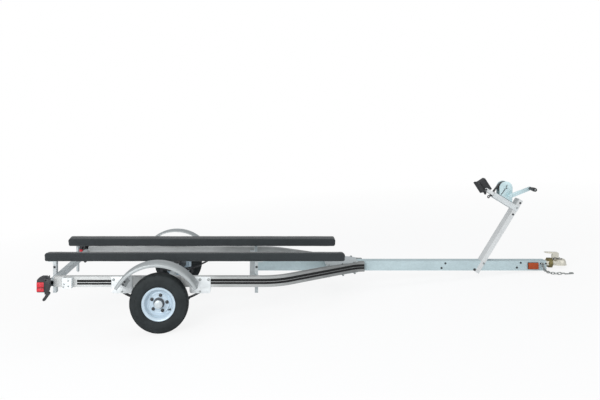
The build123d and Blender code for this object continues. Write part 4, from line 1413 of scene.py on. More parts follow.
@dataclass
class Winch:
    """The strap winch: side plates, wound strap, its run and hook, crank and grip."""

    drum: tuple[float, float] = (0.1675, 0.117)
    pinion: tuple[float, float] = (0.11888, 0.07874)
    pin_hole: float = 0.0063
    axle_radius: float = 0.006
    nut_radius: float = 0.0105
    nut_height: float = 0.006
    plate_radius: float = 0.052
    plate_in: float = 0.032
    plate_wall: float = 0.004
    rim: float = 0.0008
    rib_radius: float = 0.036
    rib_turns: tuple[float, float, int] = (-35.0, 12.5, 9)
    base: tuple[float, float] = (0.067, 0.182)
    base_low: float = 0.042
    core: float = 0.0152
    roll_radius: float = 0.0505
    turn_wall: float = 0.0021
    turn_inset: float = 0.0004
    strap_low: float = -0.021
    strap_width: float = 0.042
    strap_wall: float = 0.0018
    crank_line: float = 0.070
    crank_length: float = 0.164
    crank_rise: float = 21.4
    crank_wall: float = 0.006
    crank_skin: float = 0.0004
    # ends of the crank's arm and of its raised rib, as (distance along it, radius)
    arm_ends: ClassVar[Pairs] = ((0.0, 0.0165), (0.164, 0.0145))
    rib_ends: ClassVar[Pairs] = ((0.030, 0.0075), (0.138, 0.0062))
    # boss, nut and sleeve on the pinion's pin, as (distance across, radius, length, corners, rounded edge)
    pin_parts: ClassVar[Bars] = (
        (-0.0794, 0.0115, 0.006, 32, 0.001), (-0.0844, 0.0090, 0.006, 6, 0.0008),
        (-0.0530, 0.0095, 0.032, 32, 0.001),
    )
    # lines, as (distance along the arm, height above it)
    strap_line: ClassVar[Pairs] = (
        (0.2190, 0.117), (0.2205, 0.100), (0.2235, 0.070), (0.2252, 0.046), (0.2256, 0.036),
        (0.2254, 0.004),
    )
    hook_line: ClassVar[Pairs] = (
        (0.2300, 0.002), (0.2300, -0.012), (0.2315, -0.0215), (0.2400, -0.0215), (0.2445, -0.012),
        (0.2440, -0.001),
    )
    gate_line: ClassVar[Pairs] = ((0.2310, -0.005), (0.2365, 0.000), (0.2430, -0.002))
    # the hook's eye, as (distance across, height above the arm)
    eye_line: ClassVar[Pairs] = ((-0.012, 0.006), (0.012, 0.006), (0.012, -0.004), (-0.012, -0.004))
    # the ratchet's lever, as (distance from the drum along the arm, height above it, distance off the plate)
    lever_line: ClassVar[Sequence[tuple[float, float, float]]] = (
        (0.006, 0.024, 0.0035), (0.004, 0.010, 0.0040), (0.004, -0.038, 0.0040), (0.008, -0.066, 0.0026),
    )
    # the grip, as (distance from the crank's arm, radius)
    grip: ClassVar[Pairs] = (
        (0.0005, 0.0), (0.0005, 0.0095), (0.0025, 0.0120), (0.0060, 0.0128), (0.0090, 0.0118),
        (0.0160, 0.0115), (0.0300, 0.0130), (0.0480, 0.0145), (0.0660, 0.0155), (0.0820, 0.0158),
        (0.0930, 0.0152), (0.0990, 0.0136), (0.1015, 0.0110), (0.1015, 0.0086), (0.0850, 0.0082),
        (0.0850, 0.0),
    )

    def build(self) -> None:
        """Builds the whole winch."""
        self.add_plates()
        self.add_ratchet()
        self.add_roll()
        self.add_strap()
        self.add_hook()
        self.add_crank()
        self.add_grip()

    def on_crank(self, along: float, rise: float, across: float) -> Vector:
        """Point from its distances along the crank's arm, square to it and to the left."""
        reach = polar(along, self.crank_rise) + polar(rise, self.crank_rise + 90)
        return MAST.on_arm(*self.pinion, across) + reach

    def disc(self, spot: tuple[float, float, float], radius: float, length: float, *shape: float) -> Piece:
        """Round bar across the winch, with its middle given on the crank."""
        return Bench.drum(self.on_crank(*spot), radius, length, *shape)

    def add_plates(self) -> None:
        """Adds the round-topped side plates, the base between them and the drum's axle."""
        wall, reach = self.plate_wall, self.plate_in + self.plate_wall
        heights = (self.base_low, self.base_low + wall)
        parts = []
        for across in (-reach, self.plate_in):
            middle = across + wall / 2
            top = Bench.drum(MAST.on_arm(*self.drum, middle), self.plate_radius, wall, 64)
            plate = Bench.hulled([top, MAST.slab(self.base, heights, across, wall)])
            hole = Bench.drum(MAST.on_arm(*self.pinion, middle), self.pin_hole, 5 * wall, 24)
            parts.append(Bench.bevel(Bench.cut(plate, hole), self.rim, 2, 50.0))
        parts.append(MAST.slab(self.base, heights, -reach, 2 * reach, self.rim))
        nut = self.nut_height
        parts.append(Bench.drum(MAST.on_arm(*self.drum), self.axle_radius, 2 * (reach + nut), 24, self.rim))
        for across in (-reach - nut / 2, reach + nut / 2):
            parts.append(Bench.drum(MAST.on_arm(*self.drum, across), self.nut_radius, nut, 6, self.rim))
        Bench.finish(parts, "winch_plates", Paint.PLATE, ["winch_frame"])

    def add_ratchet(self) -> None:
        """Adds the pressed rib and the ratchet's spring lever on the right plate."""
        plate = -self.plate_in - self.plate_wall
        along, rise = self.drum
        first, stride, count = self.rib_turns
        reach = [polar(self.rib_radius, first + stride * step) for step in range(count)]
        rib = [MAST.on_arm(along - spot.x, rise + spot.z, plate - 0.0005) for spot in reach]
        Bench.finish(Bench.wire(rib, 0.0016), "winch_rib", Paint.PLATE)
        lever = [MAST.on_arm(along + back, rise + up, plate - off) for back, up, off in self.lever_line]
        Bench.finish(Bench.wire(lever, 0.0022), "ratchet_lever", Paint.DARK_BOLT)

    def add_roll(self) -> None:
        """Adds the wound strap, each turn standing a little in or out of the last."""
        low, high = self.strap_low, self.strap_low + self.strap_width
        left = []
        for number in range(int((self.roll_radius - self.core) / self.turn_wall)):
            edge = high - self.turn_inset * (number % 2)
            radius = self.core + number * self.turn_wall
            left += [(edge, radius), (edge, radius + self.turn_wall)]
        right = [(low + high - across, radius) for across, radius in reversed(left)]
        along, rise = self.drum
        corners = [MAST.on_arm(along, rise + radius, across) for across, radius in [*left, *right]]
        piece = Bench.spun(corners, MAST.on_arm(along, rise), closed=True)
        Bench.finish(piece, "strap_turns", Paint.STRAP, ["strap_roll"], Body.DRUM)

    def add_strap(self) -> None:
        """Adds the strap's free run from the roll over the arm's end."""
        back = [(along + self.strap_wall, rise) for along, rise in self.strap_line]
        corners = [MAST.on_arm(*corner, self.strap_low) for corner in [*reversed(self.strap_line), *back]]
        piece = Bench.plate(corners, ACROSS * self.strap_width, 0.0005)
        Bench.finish(piece, "strap_free_run", Paint.STRAP, ["strap_run"])

    def add_hook(self) -> None:
        """Adds the snap hook on the strap's end: a wire hook with an eye and a spring gate."""
        middle = self.strap_low + self.strap_width / 2
        hook = Bench.wire([MAST.on_arm(*place, middle) for place in self.hook_line], 0.0038)
        ring = [MAST.on_arm(self.hook_line[0][0], rise, middle + across) for across, rise in self.eye_line]
        eye = Bench.wire(ring, 0.0026, closed=True)
        gate = Bench.wire([MAST.on_arm(*place, middle) for place in self.gate_line], 0.0014)
        Bench.finish([hook, eye, gate], "snap_hook", Paint.DARK_BOLT, ["strap_hook"], slot="zinc_plate")

    def add_crank(self) -> None:
        """Adds the crank's flat arm with its pressed rib, boss, nut and sleeve."""
        wall = self.crank_wall + 2 * self.crank_skin
        middle = -self.crank_line - self.crank_wall / 2
        arm = [self.disc((x, 0, middle), radius, wall) for x, radius in self.arm_ends]
        rib = [self.disc((x, 0, middle - wall / 2), radius, 0.0016, 24) for x, radius in self.rib_ends]
        pins = [self.disc((0, 0, across), *shape) for across, *shape in self.pin_parts]
        parts = [Bench.hulled(arm, 0.0012), Bench.hulled(rib, 0.0005), *pins]
        Bench.finish(parts, "crank_arm", Paint.PLATE, (), Body.CRANK)

    def add_grip(self) -> None:
        """Adds the tapered grip with its finger rings and the bolt in its end."""
        base, length = -self.crank_line - self.crank_wall, self.crank_length
        corners = [self.on_crank(length, radius, base - reach) for reach, radius in self.grip]
        piece = Bench.spun(corners, self.on_crank(length, 0, base), steps=48)
        Bench.finish(piece, "crank_handle", Paint.BLACK, ["crank_grip"], Body.CRANK)
        bolt = self.disc((length, 0, base - 0.090), 0.0074, 0.014, 24, 0.0012)
        Bench.finish(bolt, "handle_bolt", Paint.BOLT, (), Body.CRANK)


@dataclass
class BowStop:
    """The black V block on its neck, with ribbed cheeks."""

    pin: tuple[float, float] = (0.293, 0.025)
    pitch: float = 33.0
    below: float = 0.022
    behind: float = 0.042
    height: float = 0.102
    depth: float = 0.080
    half: float = 0.060
    neck: float = 0.028
    shoulder: float = 0.057
    notch: float = 0.026
    lip: float = 0.010
    rib_line: float = 0.0275
    rib_wall: float = 0.0025
    rib_width: float = 0.004

    def at(self, toward: float, across: float, rise: float) -> Vector:
        """Point of the block.

        Args:
            toward: Distance toward the boat.
            across: Distance to the left.
            rise: Distance up the block.

        Returns:
            The point.
        """
        boat, up = polar(1, 180 + self.pitch), polar(1, 90 + self.pitch)
        corner = MAST.on_arm(*self.pin) - up * self.below - boat * self.behind
        return corner + boat * toward + up * rise + ACROSS * across

    def build(self) -> None:
        """Builds the block and its ribs."""
        depth, half, neck, shoulder = self.depth, self.half, self.neck, self.shoulder
        profile = [
            (0.0, neck), (shoulder, neck), (shoulder + 0.008, half), (depth, half),
            (depth, half - self.lip), (depth - self.notch, 0.006),
        ]
        outline = [(0.0, -neck), *profile, *[(toward, -across) for toward, across in reversed(profile[1:])]]
        up = self.at(0, 0, 1) - self.at(0, 0, 0)
        parts = [Bench.plate([self.at(*corner, 0) for corner in outline], up * self.height, 0.0032, 3)]
        top = self.height - 0.008
        for side in (-1, 1):
            for toward, low in ((0.010, 0.050), (0.048, 0.008)):
                far = toward + self.rib_width
                corners = [
                    self.at(reach, side * self.rib_line, rise)
                    for reach, rise in ((toward, low), (far, low), (far, top), (toward, top))
                ]
                parts.append(Bench.plate(corners, ACROSS * side * self.rib_wall, 0.0008))
        Bench.finish(parts, "bow_stop_block", Paint.RUBBER, ["bow_stop"])


# ------------------------------------------------------------------ coupler
@dataclass
class Coupler:
    """Ball coupler: pressed neck and domed head, hexagon collar, latch lever and its rod."""

    tongue_front: float = 3.000
    ball: float = 3.120
    low: float = 0.333
    top: float = 0.3667
    half: float = 0.0337
    sheet: float = 0.004
    flange_radius: float = 0.0405
    head_reach: float = 0.014
    socket: float = 0.026
    socket_depth: float = 0.032
    collar_x: float = 3.039
    lever_foot: float = 3.060
    pin_spot: tuple[float, float, float] = (3.069, 0, 0.3767)
    # half of the head's dome, as (radius, height)
    dome: ClassVar[Pairs] = (
        (0.0, 0.050), (0.014, 0.0495), (0.024, 0.0455), (0.031, 0.0385), (0.0355, 0.028),
        (0.038, 0.014), (0.038, 0.0), (0.0, 0.0),
    )
    # the lever, as (distance from its foot, height above the neck)
    lever: ClassVar[Pairs] = (
        (0.0, 0.0), (0.018, 0.0), (0.024, 0.016), (0.046, 0.018), (0.050, 0.022), (0.050, 0.060),
        (0.044, 0.066), (-0.050, 0.069), (-0.058, 0.067), (-0.058, 0.063), (-0.048, 0.061),
        (-0.010, 0.056), (0.004, 0.050), (0.0, 0.036),
    )
    rod: ClassVar[Pairs] = ((3.060, 0.380), (3.072, 0.392), (3.090, 0.388), (3.118, 0.379), (3.132, 0.384))

    def build(self) -> None:
        """Builds the coupler."""
        self.add_body()
        self.add_collar()
        self.add_lever()

    def add_body(self) -> None:
        """Adds the neck and the head with its flange, and cuts the ball's socket in each."""
        domes = []
        for reach in (0.0, self.head_reach):
            centre = Vector((self.ball + reach, 0, self.low))
            corners = [centre + Vector((0, radius, rise)) for radius, rise in self.dome]
            domes.append(Bench.spun(corners, centre, UP, steps=48))
        head = Bench.hulled(domes)
        rims = [
            Bench.drum((self.ball + reach, 0, self.low + 0.002), self.flange_radius, 0.004, 48, axis=UP)
            for reach in (-0.01, self.head_reach)
        ]
        flange = Bench.hulled(rims, 0.0012)
        rear, inset = self.tongue_front - 0.07, self.half - self.sheet
        neck = Bench.block((rear, -self.half, self.low), (self.ball, self.half, self.top), 0.005, 3)
        low = self.low - 0.01
        inside = Bench.block((rear - 0.01, -inset, low), (self.ball, inset, self.top - self.sheet))
        Bench.cut(neck, inside)
        ball = (self.ball, 0, self.low + self.socket_depth - self.socket)
        for part in (head, flange, neck):
            Bench.clear()
            settings = {"segments": 40, "ring_count": 20, "radius": self.socket}
            bpy.ops.mesh.primitive_uv_sphere_add(**settings, location=ball)
            Bench.cut(part, Bench.settle())
        Bench.finish([neck, head, flange], "coupler_pressing", Paint.CREAM, ["coupler"], smooth=30.0)

    def add_collar(self) -> None:
        """Adds the hexagon collar with turned faces."""
        height = (self.low + self.top) / 2
        parts = [Bench.drum((self.collar_x, 0, height), 0.0415, 0.034, 6, 0.003, ALONG)]
        for x in (self.collar_x - 0.0172, self.collar_x + 0.0172):
            parts.append(Bench.drum((x, 0, height), 0.0345, 0.003, 48, 0.001, ALONG))
        Bench.finish(parts, "collar_hexagon", Paint.OLIVE, ["coupler_collar"])

    def add_lever(self) -> None:
        """Adds the latch lever, its pin and the sprung rod beneath it."""
        corners = [Vector((self.lever_foot + x, -0.015, self.top + z)) for x, z in self.lever]
        lever = Bench.plate(corners, ACROSS * 0.030, 0.0016)
        Bench.finish(lever, "latch_lever", Paint.CREAM, ["coupler_lever"])
        parts = [Bench.wire([Vector((x, y, z)) for x, z in self.rod], 0.0030) for y in (-0.019, 0.019)]
        parts.append(Bench.drum(self.pin_spot, 0.004, 0.042, 16, 0.0008))
        Bench.finish(parts, "latch_rod", Paint.DARK_BOLT)


@dataclass
class Chains:
    """The two safety chains: round-wire links in the model's places, bolt and hook."""

    wire: float = 0.00275
    bend: float = 0.0080
    straight: float = 0.00715
    eye_rear: float = 0.0179
    link_corners: int = 24
    hook_wire: float = 0.0046
    hook_rise: float = 0.0056
    # direction that each chain's hook points in on the ground
    headings: ClassVar[dict[Side, Vector]] = {Side.RIGHT: Vector((56, -10, 0)), Side.LEFT: Vector((56, 4, 0))}
    # the hook's wire, as (distance along its heading, distance to the left)
    hook_line: ClassVar[Pairs] = (
        (0.0125, 0.0), (0.0300, 0.0), (0.0560, 0.0), (0.0765, 0.0005), (0.0775, 0.0110), (0.0765, 0.0215),
        (0.0660, 0.0225), (0.0520, 0.0220),
    )

    def build(self) -> None:
        """Builds both chains."""
        for side, heading in self.headings.items():
            self.add_chain(side, heading.normalized())

    def link(self) -> Piece:
        """One welded link, a torus drawn out to its length.

        Returns:
            The link, flat about the origin.
        """
        Bench.clear()
        bpy.ops.mesh.primitive_torus_add(
            major_radius=self.bend, minor_radius=self.wire, major_segments=20, minor_segments=10
        )
        piece = Bench.settle()
        for way in (1, -1):
            Bench.pick(piece, "VERT", lambda v: v.co.x * way > 1e-5)
            bpy.ops.transform.translate(value=(way * self.straight, 0, 0))
        bpy.ops.object.mode_set(mode="OBJECT")
        return piece

    def clumps(self, node: str) -> list[list[Vector]]:
        """Finds the separate solids in one of the model's nodes.

        Args:
            node: The node's name.

        Returns:
            The corner points of each.
        """
        mesh = bmesh.new()
        mesh.from_mesh(frame["nodes"][node].data)
        bmesh.ops.remove_doubles(mesh, verts=mesh.verts, dist=1e-6)
        seen: set[bmesh.types.BMVert] = set()
        found = []
        for start in mesh.verts:
            if start in seen:
                continue
            seen.add(start)
            clump = [start]
            for vert in clump:
                near = [edge.other_vert(vert) for edge in vert.link_edges]
                fresh = [other for other in near if other not in seen]
                seen.update(fresh)
                clump += fresh
            found.append([vert.co.copy() for vert in clump])
        mesh.free()
        return found

    def frame_of(self, points: Sequence[Vector]) -> Matrix:
        """Finds how a link lies.

        Args:
            points: Its corner points.

        Returns:
            Its place and turn, with its long way along X and its thin way along Z.
        """
        middle = sum(points, Vector()) / len(points)
        spread = numpy.array([tuple(point - middle) for point in points])
        axes = numpy.linalg.eigh(spread.T @ spread)[1]
        along, across = (Vector(axes[:, number]) for number in (2, 1))
        turn = Matrix((along, across, along.cross(across))).transposed().to_4x4()
        return Matrix.Translation(middle) @ turn

    def add_chain(self, side: Side, heading: Vector) -> None:
        """Adds one chain: links, hook and anchor bolt.

        Args:
            side: The chain's side.
            heading: Direction of its hook.
        """
        node = f"chain_{side.word}"
        solids = self.clumps(node)
        hook = max(solids, key=lambda points: (extent(points)[1] - extent(points)[0]).length)
        solids.remove(hook)
        links = [points for points in solids if len(points) == self.link_corners]
        anchor = next(points for points in solids if len(points) != self.link_corners)
        LOG.info("%s: %d links", node, len(links))
        chain = Bench.copies(self.link(), [self.frame_of(points) for points in links])
        parts = [chain, self.hook(hook, heading), self.bolt(anchor, side.value)]
        Bench.finish(parts, f"{node}_links", Paint.CHAIN, [node], level=False)

    def hook(self, points: Sequence[Vector], heading: Vector) -> Piece:
        """The hook: an eye link flat on the ground and a bent wire with a drawn-out tip.

        Args:
            points: The corners of the model's hook.
            heading: The direction that it points in.

        Returns:
            The hook.
        """
        aside = UP.cross(heading)
        rear = min(point.dot(heading) for point in points)
        tail = [point for point in points if point.dot(heading) < rear + 0.012]
        line = sum(point.dot(aside) for point in tail) / len(tail)
        height = sum(point.z for point in tail) / len(tail)
        origin = heading * (rear + self.eye_rear) + aside * line
        turn = Matrix((heading, aside, UP)).transposed().to_4x4()
        eye = self.link()
        eye.data.transform(Matrix.Translation(origin + UP * height) @ turn)
        root = origin + UP * self.hook_rise
        spots = [root + heading * along + aside * out for along, out in self.hook_line]
        return Bench.joined([eye, Bench.wire(spots, self.hook_wire, sides=4)])

    def bolt(self, points: Sequence[Vector], side: int) -> Piece:
        """The anchor bolt: shank, hexagon head and washer.

        Args:
            points: The corners of the model's bolt.
            side: 1 where its head points to the left, -1 to the right.

        Returns:
            The bolt.
        """
        low, high = extent(points)
        x, middle, z = (low + high) / 2
        root, tip = (low.y, high.y) if side > 0 else (high.y, low.y)
        shank = Bench.drum((x, middle, z), 0.004, high.y - low.y, 16, 0.0005)
        head = Bench.drum((x, tip - side * 0.002, z), 0.008, 0.004, 6, 0.0008)
        washer = Bench.drum((x, root + side * 0.001, z), 0.009, 0.002, 24, 0.0004)
        return Bench.joined([shank, head, washer])


# ------------------------------------------------------------------ lamps
@dataclass
class TailLamp(Sided):
    """One tail lamp: two-part red lens in a black tray, rounded hood and hooked bracket."""

    back: float = -0.819
    depth: float = 0.058
    inner: float = 0.487
    outer: float = 0.601
    low: float = 0.276
    split: float = 0.3085
    high: float = 0.350
    ear_line: float = 0.560
    ear_width: float = 0.041
    # slices of the hood: distance from the middle, start and end past the lens's front, the
    # front edge's rounding, and rise above the lens
    slices: ClassVar[Sequence[tuple[float, float, float, float, float]]] = (
        (0.487, 0.034, 0.048, 0.013, 0.0200),
        (0.517, 0.012, 0.056, 0.010, 0.0275),
        (0.557, 0.003, 0.058, 0.009, 0.0265),
        (0.593, 0.001, 0.058, 0.012, 0.0225),
        (0.601, 0.004, 0.057, 0.016, 0.0190),
    )
    # the hood's ear, as (distance past the lens's back, rise above it)
    ear: ClassVar[Pairs] = (
        (-0.004, 0.004), (-0.004, 0.0195), (0.020, 0.0175), (0.037, 0.0225), (0.040, 0.0200), (0.036, 0.0215),
    )
    # outlines in the side view
    cheek: ClassVar[Pairs] = (
        (-0.819, 0.3715), (-0.778, 0.3715), (-0.774, 0.350), (-0.780, 0.335), (-0.774, 0.318),
        (-0.786, 0.292), (-0.798, 0.272), (-0.808, 0.262), (-0.819, 0.270),
    )
    hook: ClassVar[Pairs] = (
        (-0.806, 0.290), (-0.788, 0.276), (-0.782, 0.268), (-0.786, 0.258), (-0.800, 0.240), (-0.816, 0.217),
        (-0.826, 0.213), (-0.837, 0.221), (-0.833, 0.230), (-0.820, 0.246), (-0.812, 0.262),
    )

    def build(self) -> None:
        """Builds the lamp."""
        self.add_lens()
        self.add_hood()
        self.add_bracket()

    def add_lens(self) -> None:
        """Adds the lens in two parts, with a black bar between and a black rim below."""
        front, back, split = self.back - self.depth, self.back, self.split
        parts = [
            self.block((front, back - 0.004), (self.inner + 0.001, self.outer), heights, 0.005, 3)
            for heights in ((self.low + 0.004, split - 0.0012), (split + 0.0012, self.high - 0.001))
        ]
        Bench.finish(parts, f"lens_{self.word}", Paint.RED, [f"lamp_lens_{self.word}"])
        tray = [
            self.block((start, back), (self.inner + 0.002, self.outer - 0.001), heights, edge)
            for start, heights, edge in (
                (front + 0.003, (self.low, self.low + 0.0085), 0.003),
                (front + 0.0015, (split - 0.002, split + 0.002), 0.0),
                (back - 0.006, (self.low, self.high), 0.001),
            )
        ]
        Bench.finish(tray, f"lamp_tray_{self.word}", Paint.BLACK)

    def add_hood(self) -> None:
        """Adds the hood, rounded over the lens and sloping down past the rail's end."""
        high, slices = self.high, []
        for across, start, end, round_off, rise in self.slices:
            front, rear = self.back - self.depth + start, self.back - self.depth + end
            outline = [
                (front, high - 0.001), (front, high + rise * 0.45),
                (front + round_off * 0.35, high + rise * 0.82), (front + round_off, high + rise),
                (rear, high + rise * 0.80), (rear, high - 0.001),
            ]
            slices.append(self.plate(outline, across, 0.0004))
        ear = [(self.back + x, high + z) for x, z in self.ear]
        parts = [Bench.hulled(slices, 0.0016), self.plate(ear, self.ear_line, self.ear_width, 0.0018)]
        Bench.finish(parts, f"lamp_cover_{self.word}", Paint.BLACK, [f"lamp_hood_{self.word}"])

    def add_bracket(self) -> None:
        """Adds the bracket: plate behind the lamp, a thick hook and a cheek past the rail's end."""
        parts = [
            self.block((self.back, self.back + 0.006), (self.inner, self.outer), (0.262, 0.371), 0.001),
            self.plate(self.hook, 0.573, 0.027, 0.002),
            self.plate(self.cheek, 0.592, 0.009, 0.002),
        ]
        Bench.finish(parts, f"lamp_arm_{self.word}", Paint.BLACK, [f"lamp_bracket_{self.word}"])


@dataclass
class Marker(Sided):
    """Amber side marker on the tongue, in a dark base."""

    rear: float = 2.850
    front: float = 2.934
    face: float = 0.038
    base: float = 0.044
    outer: float = 0.056
    low: float = 0.306
    high: float = 0.360

    def build(self) -> None:
        """Builds the base and the lens with its reflex panel."""
        outer = self.outer
        base = self.inset(0, 0, 0, (self.face, self.base), 0.0015)
        Bench.finish(base, f"marker_base_{self.word}", Paint.BROWN)
        lens = self.inset(0.003, 0.002, 0.002, (self.base - 0.002, outer), 0.005, 3)
        panel = self.inset(0.016, 0.016, 0.012, (outer - 0.001, outer + 0.0008), 0.0006)
        Bench.finish([lens, panel], f"marker_lens_{self.word}", Paint.AMBER, [f"side_marker_{self.word}"])

    def inset(self, rear: float, front: float, rim: float, across: Sequence[float], *edge: float) -> Piece:
        """Block that stands in from the base's rear, its front and its long edges."""
        heights = (self.low + rim, self.high - rim)
        return self.block((self.rear + rear, self.front - front), across, heights, *edge)


# ------------------------------------------------------------------ fasteners
@dataclass(frozen=True)
class Bolt:
    """One hexagon bolt: where its washer lies, where its head points and how large it is."""

    place: Vector
    toward: Vector
    size: float


@dataclass
class Fasteners:
    """Bolts of the frame, brackets, hangers, post and coupler."""

    drawn_size: float = 0.0065
    turn: float = 17.0
    # washer, head and mark on the head, as (middle, radius, height, corners, rounded edge)
    layers: ClassVar[Bars] = (
        (0.0004, 0.0092, 0.0016, 24, 0.0004),
        (0.0034, 0.0068, 0.0046, 6, 0.0007),
        (0.0058, 0.0042, 0.0008, 16, 0.0002),
    )
    # bolts on both sides: dark or bright, where the left side's heads point, size, places
    paired: ClassVar[Sequence[tuple[bool, Vector, float, Sequence[tuple[float, float, float]]]]] = (
        (False, ACROSS, 0.0048, ((-0.659, 0.569, 0.352), (-0.689, 0.569, 0.3275))),
        (False, ACROSS, 0.0048, ((-0.659, 0.569, 0.3125), (-0.694, 0.569, 0.308))),
        (True, ACROSS, 0.0062, ((-0.826, 0.3385, 0.325), (-0.826, 0.3385, 0.395))),
        (True, ACROSS, 0.0062, ((0.691, 0.3385, 0.325), (0.691, 0.3385, 0.395))),
        (False, ACROSS, 0.0075, ((0.282, 0.530, 0.3505), (0.343, 0.530, 0.3505))),
        (False, ACROSS, 0.0075, ((-0.282, 0.530, 0.3505), (-0.343, 0.530, 0.3505))),
        (False, ACROSS, 0.0085, ((0.282, 0.5238, 0.264), (-0.282, 0.5238, 0.264))),
        (True, ACROSS, 0.0050, ((0.232, 0.5325, 0.332), (0.246, 0.5325, 0.309))),
        (True, ACROSS, 0.0050, ((-0.262, 0.5325, 0.334), (-0.274, 0.5325, 0.312))),
        (False, UP, 0.0075, ((1.365, 0.160, 0.376),)), (False, -UP, 0.0075, ((1.365, 0.160, 0.290),)),
        (False, UP, 0.0075, ((1.465, 0.100, 0.376),)), (False, -UP, 0.0075, ((1.465, 0.100, 0.290),)),
        (False, UP, 0.0075, ((1.250, 0.200, 0.376),)), (False, -UP, 0.0075, ((1.250, 0.200, 0.290),)),
        (True, -UP, 0.0072, ((0.0253, 0.5283, 0.144), (-0.0253, 0.5283, 0.144))),
        (True, -UP, 0.0072, ((0.0253, 0.4777, 0.144), (-0.0253, 0.4777, 0.144))),
        (True, ACROSS, 0.0075, ((2.428, 0.038, 0.302),)), (False, ACROSS, 0.0060, ((2.500, 0.042, 0.352),)),
        (True, ACROSS, 0.0060, ((2.7325, 0.042, 0.7418), (2.7897, 0.042, 0.8316))),
        (False, ACROSS, 0.0055, ((2.7630, 0.046, 0.7945),)),
        (True, ACROSS, 0.0058, ((2.196, 0.038, 0.352), (2.165, 0.038, 0.315))),
        (True, ACROSS, 0.0058, ((2.796, 0.038, 0.356), (2.765, 0.038, 0.318))),
        (True, ACROSS, 0.0062, ((2.5225, 0.0342, 0.9375), (2.601, 0.0342, 0.888))),
        (True, ACROSS, 0.0070, ((2.955, 0.0337, 0.350), (2.995, 0.0337, 0.350))),
        (False, -ALONG, 0.0062, ((-0.813, -0.180, 0.323),)),
    )

    def build(self) -> None:
        """Models one bolt in each finish and copies it to every place."""
        for dark, name, paint in ((True, "dark", Paint.DARK_BOLT), (False, "bright", Paint.BOLT)):
            places = [
                Bench.facing(bolt.place, bolt.toward, self.turn * number)
                @ Matrix.Scale(bolt.size / self.drawn_size, 4)
                for number, bolt in enumerate(self.bolts(dark))
            ]
            piece = Bench.copies(Bench.stack(self.layers), places)
            Bench.finish(piece, f"frame_bolts_{name}", paint)

    def bolts(self, dark: bool) -> list[Bolt]:
        """Every bolt in one finish, on both sides.

        Args:
            dark: True for the dark ones.

        Returns:
            The bolts, left and right in turn.
        """
        found = []
        for is_dark, toward, size, spots in self.paired:
            for spot in spots if is_dark is dark else ():
                for side in (1, -1):
                    mirror = Matrix.Diagonal((1, side, 1))
                    found.append(Bolt(mirror @ Vector(spot), mirror @ toward, size))
        return found


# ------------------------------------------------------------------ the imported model
@dataclass
class ModelFinishes:
    """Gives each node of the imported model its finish."""

    # finish of the nodes whose names start with a word; the first that fits is taken
    table: ClassVar[dict[str, Paint]] = {
        "rail_": Paint.RAIL, "tongue": Paint.TONGUE, "fender": Paint.FENDER, "hanger": Paint.HANGER,
        # the corner brackets take the paler hanger zinc, partly painted light
        "corner_bracket": Paint.HANGER, "tyre": Paint.TYRE, "wheel": Paint.WHEEL, "hub": Paint.HUB,
        "leaf_spring": Paint.SPRING, "axle_clamp": Paint.SPRING, "bunk_left": Paint.CARPET,
        "bunk_right": Paint.CARPET, "lamp_lens": Paint.RED, "lamp_": Paint.BLACK,
        "side_marker": Paint.AMBER, "bow_stop": Paint.RUBBER, "winch_frame": Paint.PLATE,
        "winch_drum": Paint.GEAR, "winch_crank": Paint.PLATE, "strap_hook": Paint.BOLT,
        "strap": Paint.STRAP, "crank_grip": Paint.BLACK, "coupler_collar": Paint.OLIVE,
        "coupler": Paint.CREAM, "chain": Paint.CHAIN, "stop_bar": Paint.BAR, "winch_arm": Paint.ARM,
        "winch_post": Paint.POST,
    }

    def dress(self) -> None:
        """Paints every node by the start of its name."""
        for name, node in frame["nodes"].items():
            paint = next((p for start, p in self.table.items() if name.startswith(start)), Paint.ZINC)
            node.data.materials.clear()
            node.data.materials.append(paint.material)
            LOG.info("%s painted %s", name, paint.value.name)


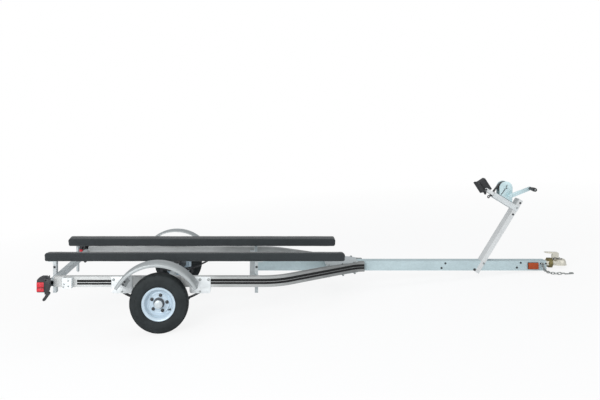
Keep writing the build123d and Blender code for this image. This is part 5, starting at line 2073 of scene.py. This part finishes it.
# ------------------------------------------------------------------ studio
@dataclass
class Studio:
    """Camera, lamps, floor and background."""

    camera_place: tuple[float, float, float] = (0.657, -5.33, 1.596)
    focal_length: float = 39.9
    sensor: float = 36.0
    vanish_x: float = 252.0
    vanish_y: float = 107.0
    image_width: float = 600.0
    image_height: float = 400.0
    aim: tuple[float, float, float] = (0.3, 0, 0.3)
    floor_size: float = 60.0
    floor_colour: Colour = (0.86, 0.87, 0.88)
    near_share: float = 0.85
    near_radius: float = 1.8
    clear_radius: float = 6.0
    sky: float = 0.5
    sky_colour: Colour = (0.95, 0.975, 1.0)
    # lamps, as (place, diameter, power)
    lamps: ClassVar[dict[str, tuple[tuple[float, float, float], float, float]]] = {
        "lamp_key": ((-3.0, -5.2, 3.2), 4.0, 245.0),
        "lamp_fill": ((4.5, -4.6, 2.6), 4.0, 48.0),
        "lamp_top": ((0.3, 1.0, 6.0), 6.0, 66.0),
    }

    def build(self) -> None:
        """Makes everything that isn't part of the trailer."""
        self.add_camera()
        self.add_lamps()
        self.add_floor()
        self.add_world()
        bpy.context.scene.view_settings.view_transform = "Standard"

    def add_camera(self) -> None:
        """Places the camera in the level frame, looking along +Y."""
        data = bpy.data.cameras.new("camera")
        data.lens = self.focal_length
        data.sensor_width = self.sensor
        data.shift_x = (self.image_width / 2 - self.vanish_x) / self.image_width
        data.shift_y = -(self.image_height / 2 - self.vanish_y) / self.image_width
        camera = bpy.data.objects.new("camera", data)
        looking = Matrix.Rotation(math.radians(90), 4, "X")
        camera.matrix_world = LEVEL.to_model @ Matrix.Translation(self.camera_place) @ looking
        bpy.context.scene.collection.objects.link(camera)
        bpy.context.scene.camera = camera

    def add_lamps(self) -> None:
        """Adds soft round lamps above and in front."""
        for name, (place, size, power) in self.lamps.items():
            data = bpy.data.lights.new(name, "AREA")
            data.shape = "DISK"
            data.size = size
            data.energy = power
            lamp = bpy.data.objects.new(name, data)
            lamp.location = place
            lamp.rotation_euler = (Vector(self.aim) - Vector(place)).to_track_quat("-Z", "Y").to_euler()
            bpy.context.scene.collection.objects.link(lamp)

    def add_floor(self) -> None:
        """Adds a pale floor that keeps the trailer's shadow and ends in plain white."""
        Bench.clear()
        bpy.ops.mesh.primitive_plane_add(size=self.floor_size, location=(0, 0, 0))
        floor = bpy.context.object
        floor.name = "floor"
        graph = Graph("floor_white")
        reach = graph.add("ShaderNodeVectorMath", {"operation": "LENGTH"}, {0: graph.coordinates}, "Value")
        fade = reach.ramp(self.near_radius, self.clear_radius, self.near_share, 1.0)
        share = graph.add("ShaderNodeLightPath", {}, {}, "Is Camera Ray") * fade
        matte = graph.add("ShaderNodeBsdfDiffuse", {}, {"Color": (*self.floor_colour, 1)})
        glow = graph.add("ShaderNodeEmission", {}, {"Color": (1, 1, 1, 1), "Strength": 1.0})
        blend = graph.add("ShaderNodeMixShader", {}, {0: share, 1: matte, 2: glow})
        graph.links.new(blend.socket, graph.nodes["Material Output"].inputs[0])
        graph.nodes.remove(graph.shader)
        floor.data.materials.append(graph.material)

    def add_world(self) -> None:
        """Adds a plain background, white to the camera and in reflections."""
        world = bpy.data.worlds.new("studio")
        bpy.context.scene.world = world
        world.use_nodes = True
        nodes, links = world.node_tree.nodes, world.node_tree.links
        ground = nodes["Background"]
        ground.inputs["Color"].default_value = (*self.sky_colour, 1)
        ground.inputs["Strength"].default_value = self.sky
        white = nodes.new("ShaderNodeBackground")
        white.inputs["Color"].default_value = (1, 1, 1, 1)
        path = nodes.new("ShaderNodeLightPath")
        blend = nodes.new("ShaderNodeMixShader")
        for number, socket in enumerate((path.outputs["Is Camera Ray"], ground.outputs[0], white.outputs[0])):
            links.new(socket, blend.inputs[number])
        links.new(blend.outputs[0], nodes["World Output"].inputs[0])


def main() -> None:
    """Builds the studio, paints the model and adds the pieces."""
    logging.basicConfig(level=logging.INFO, format="%(message)s")
    Studio().build()
    ModelFinishes().dress()
    for side in Side:
        for part in (Wheel, Fender, Suspension, Bunk, TailLamp, Marker):
            part(side).build()
            LOG.info("%s %s built", part.__name__, side.word)
    for part in (Winch, BowStop, Coupler, Chains, Fasteners):
        part().build()
        LOG.info("%s built", part.__name__)


if __name__ == "__main__":
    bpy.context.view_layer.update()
    main()
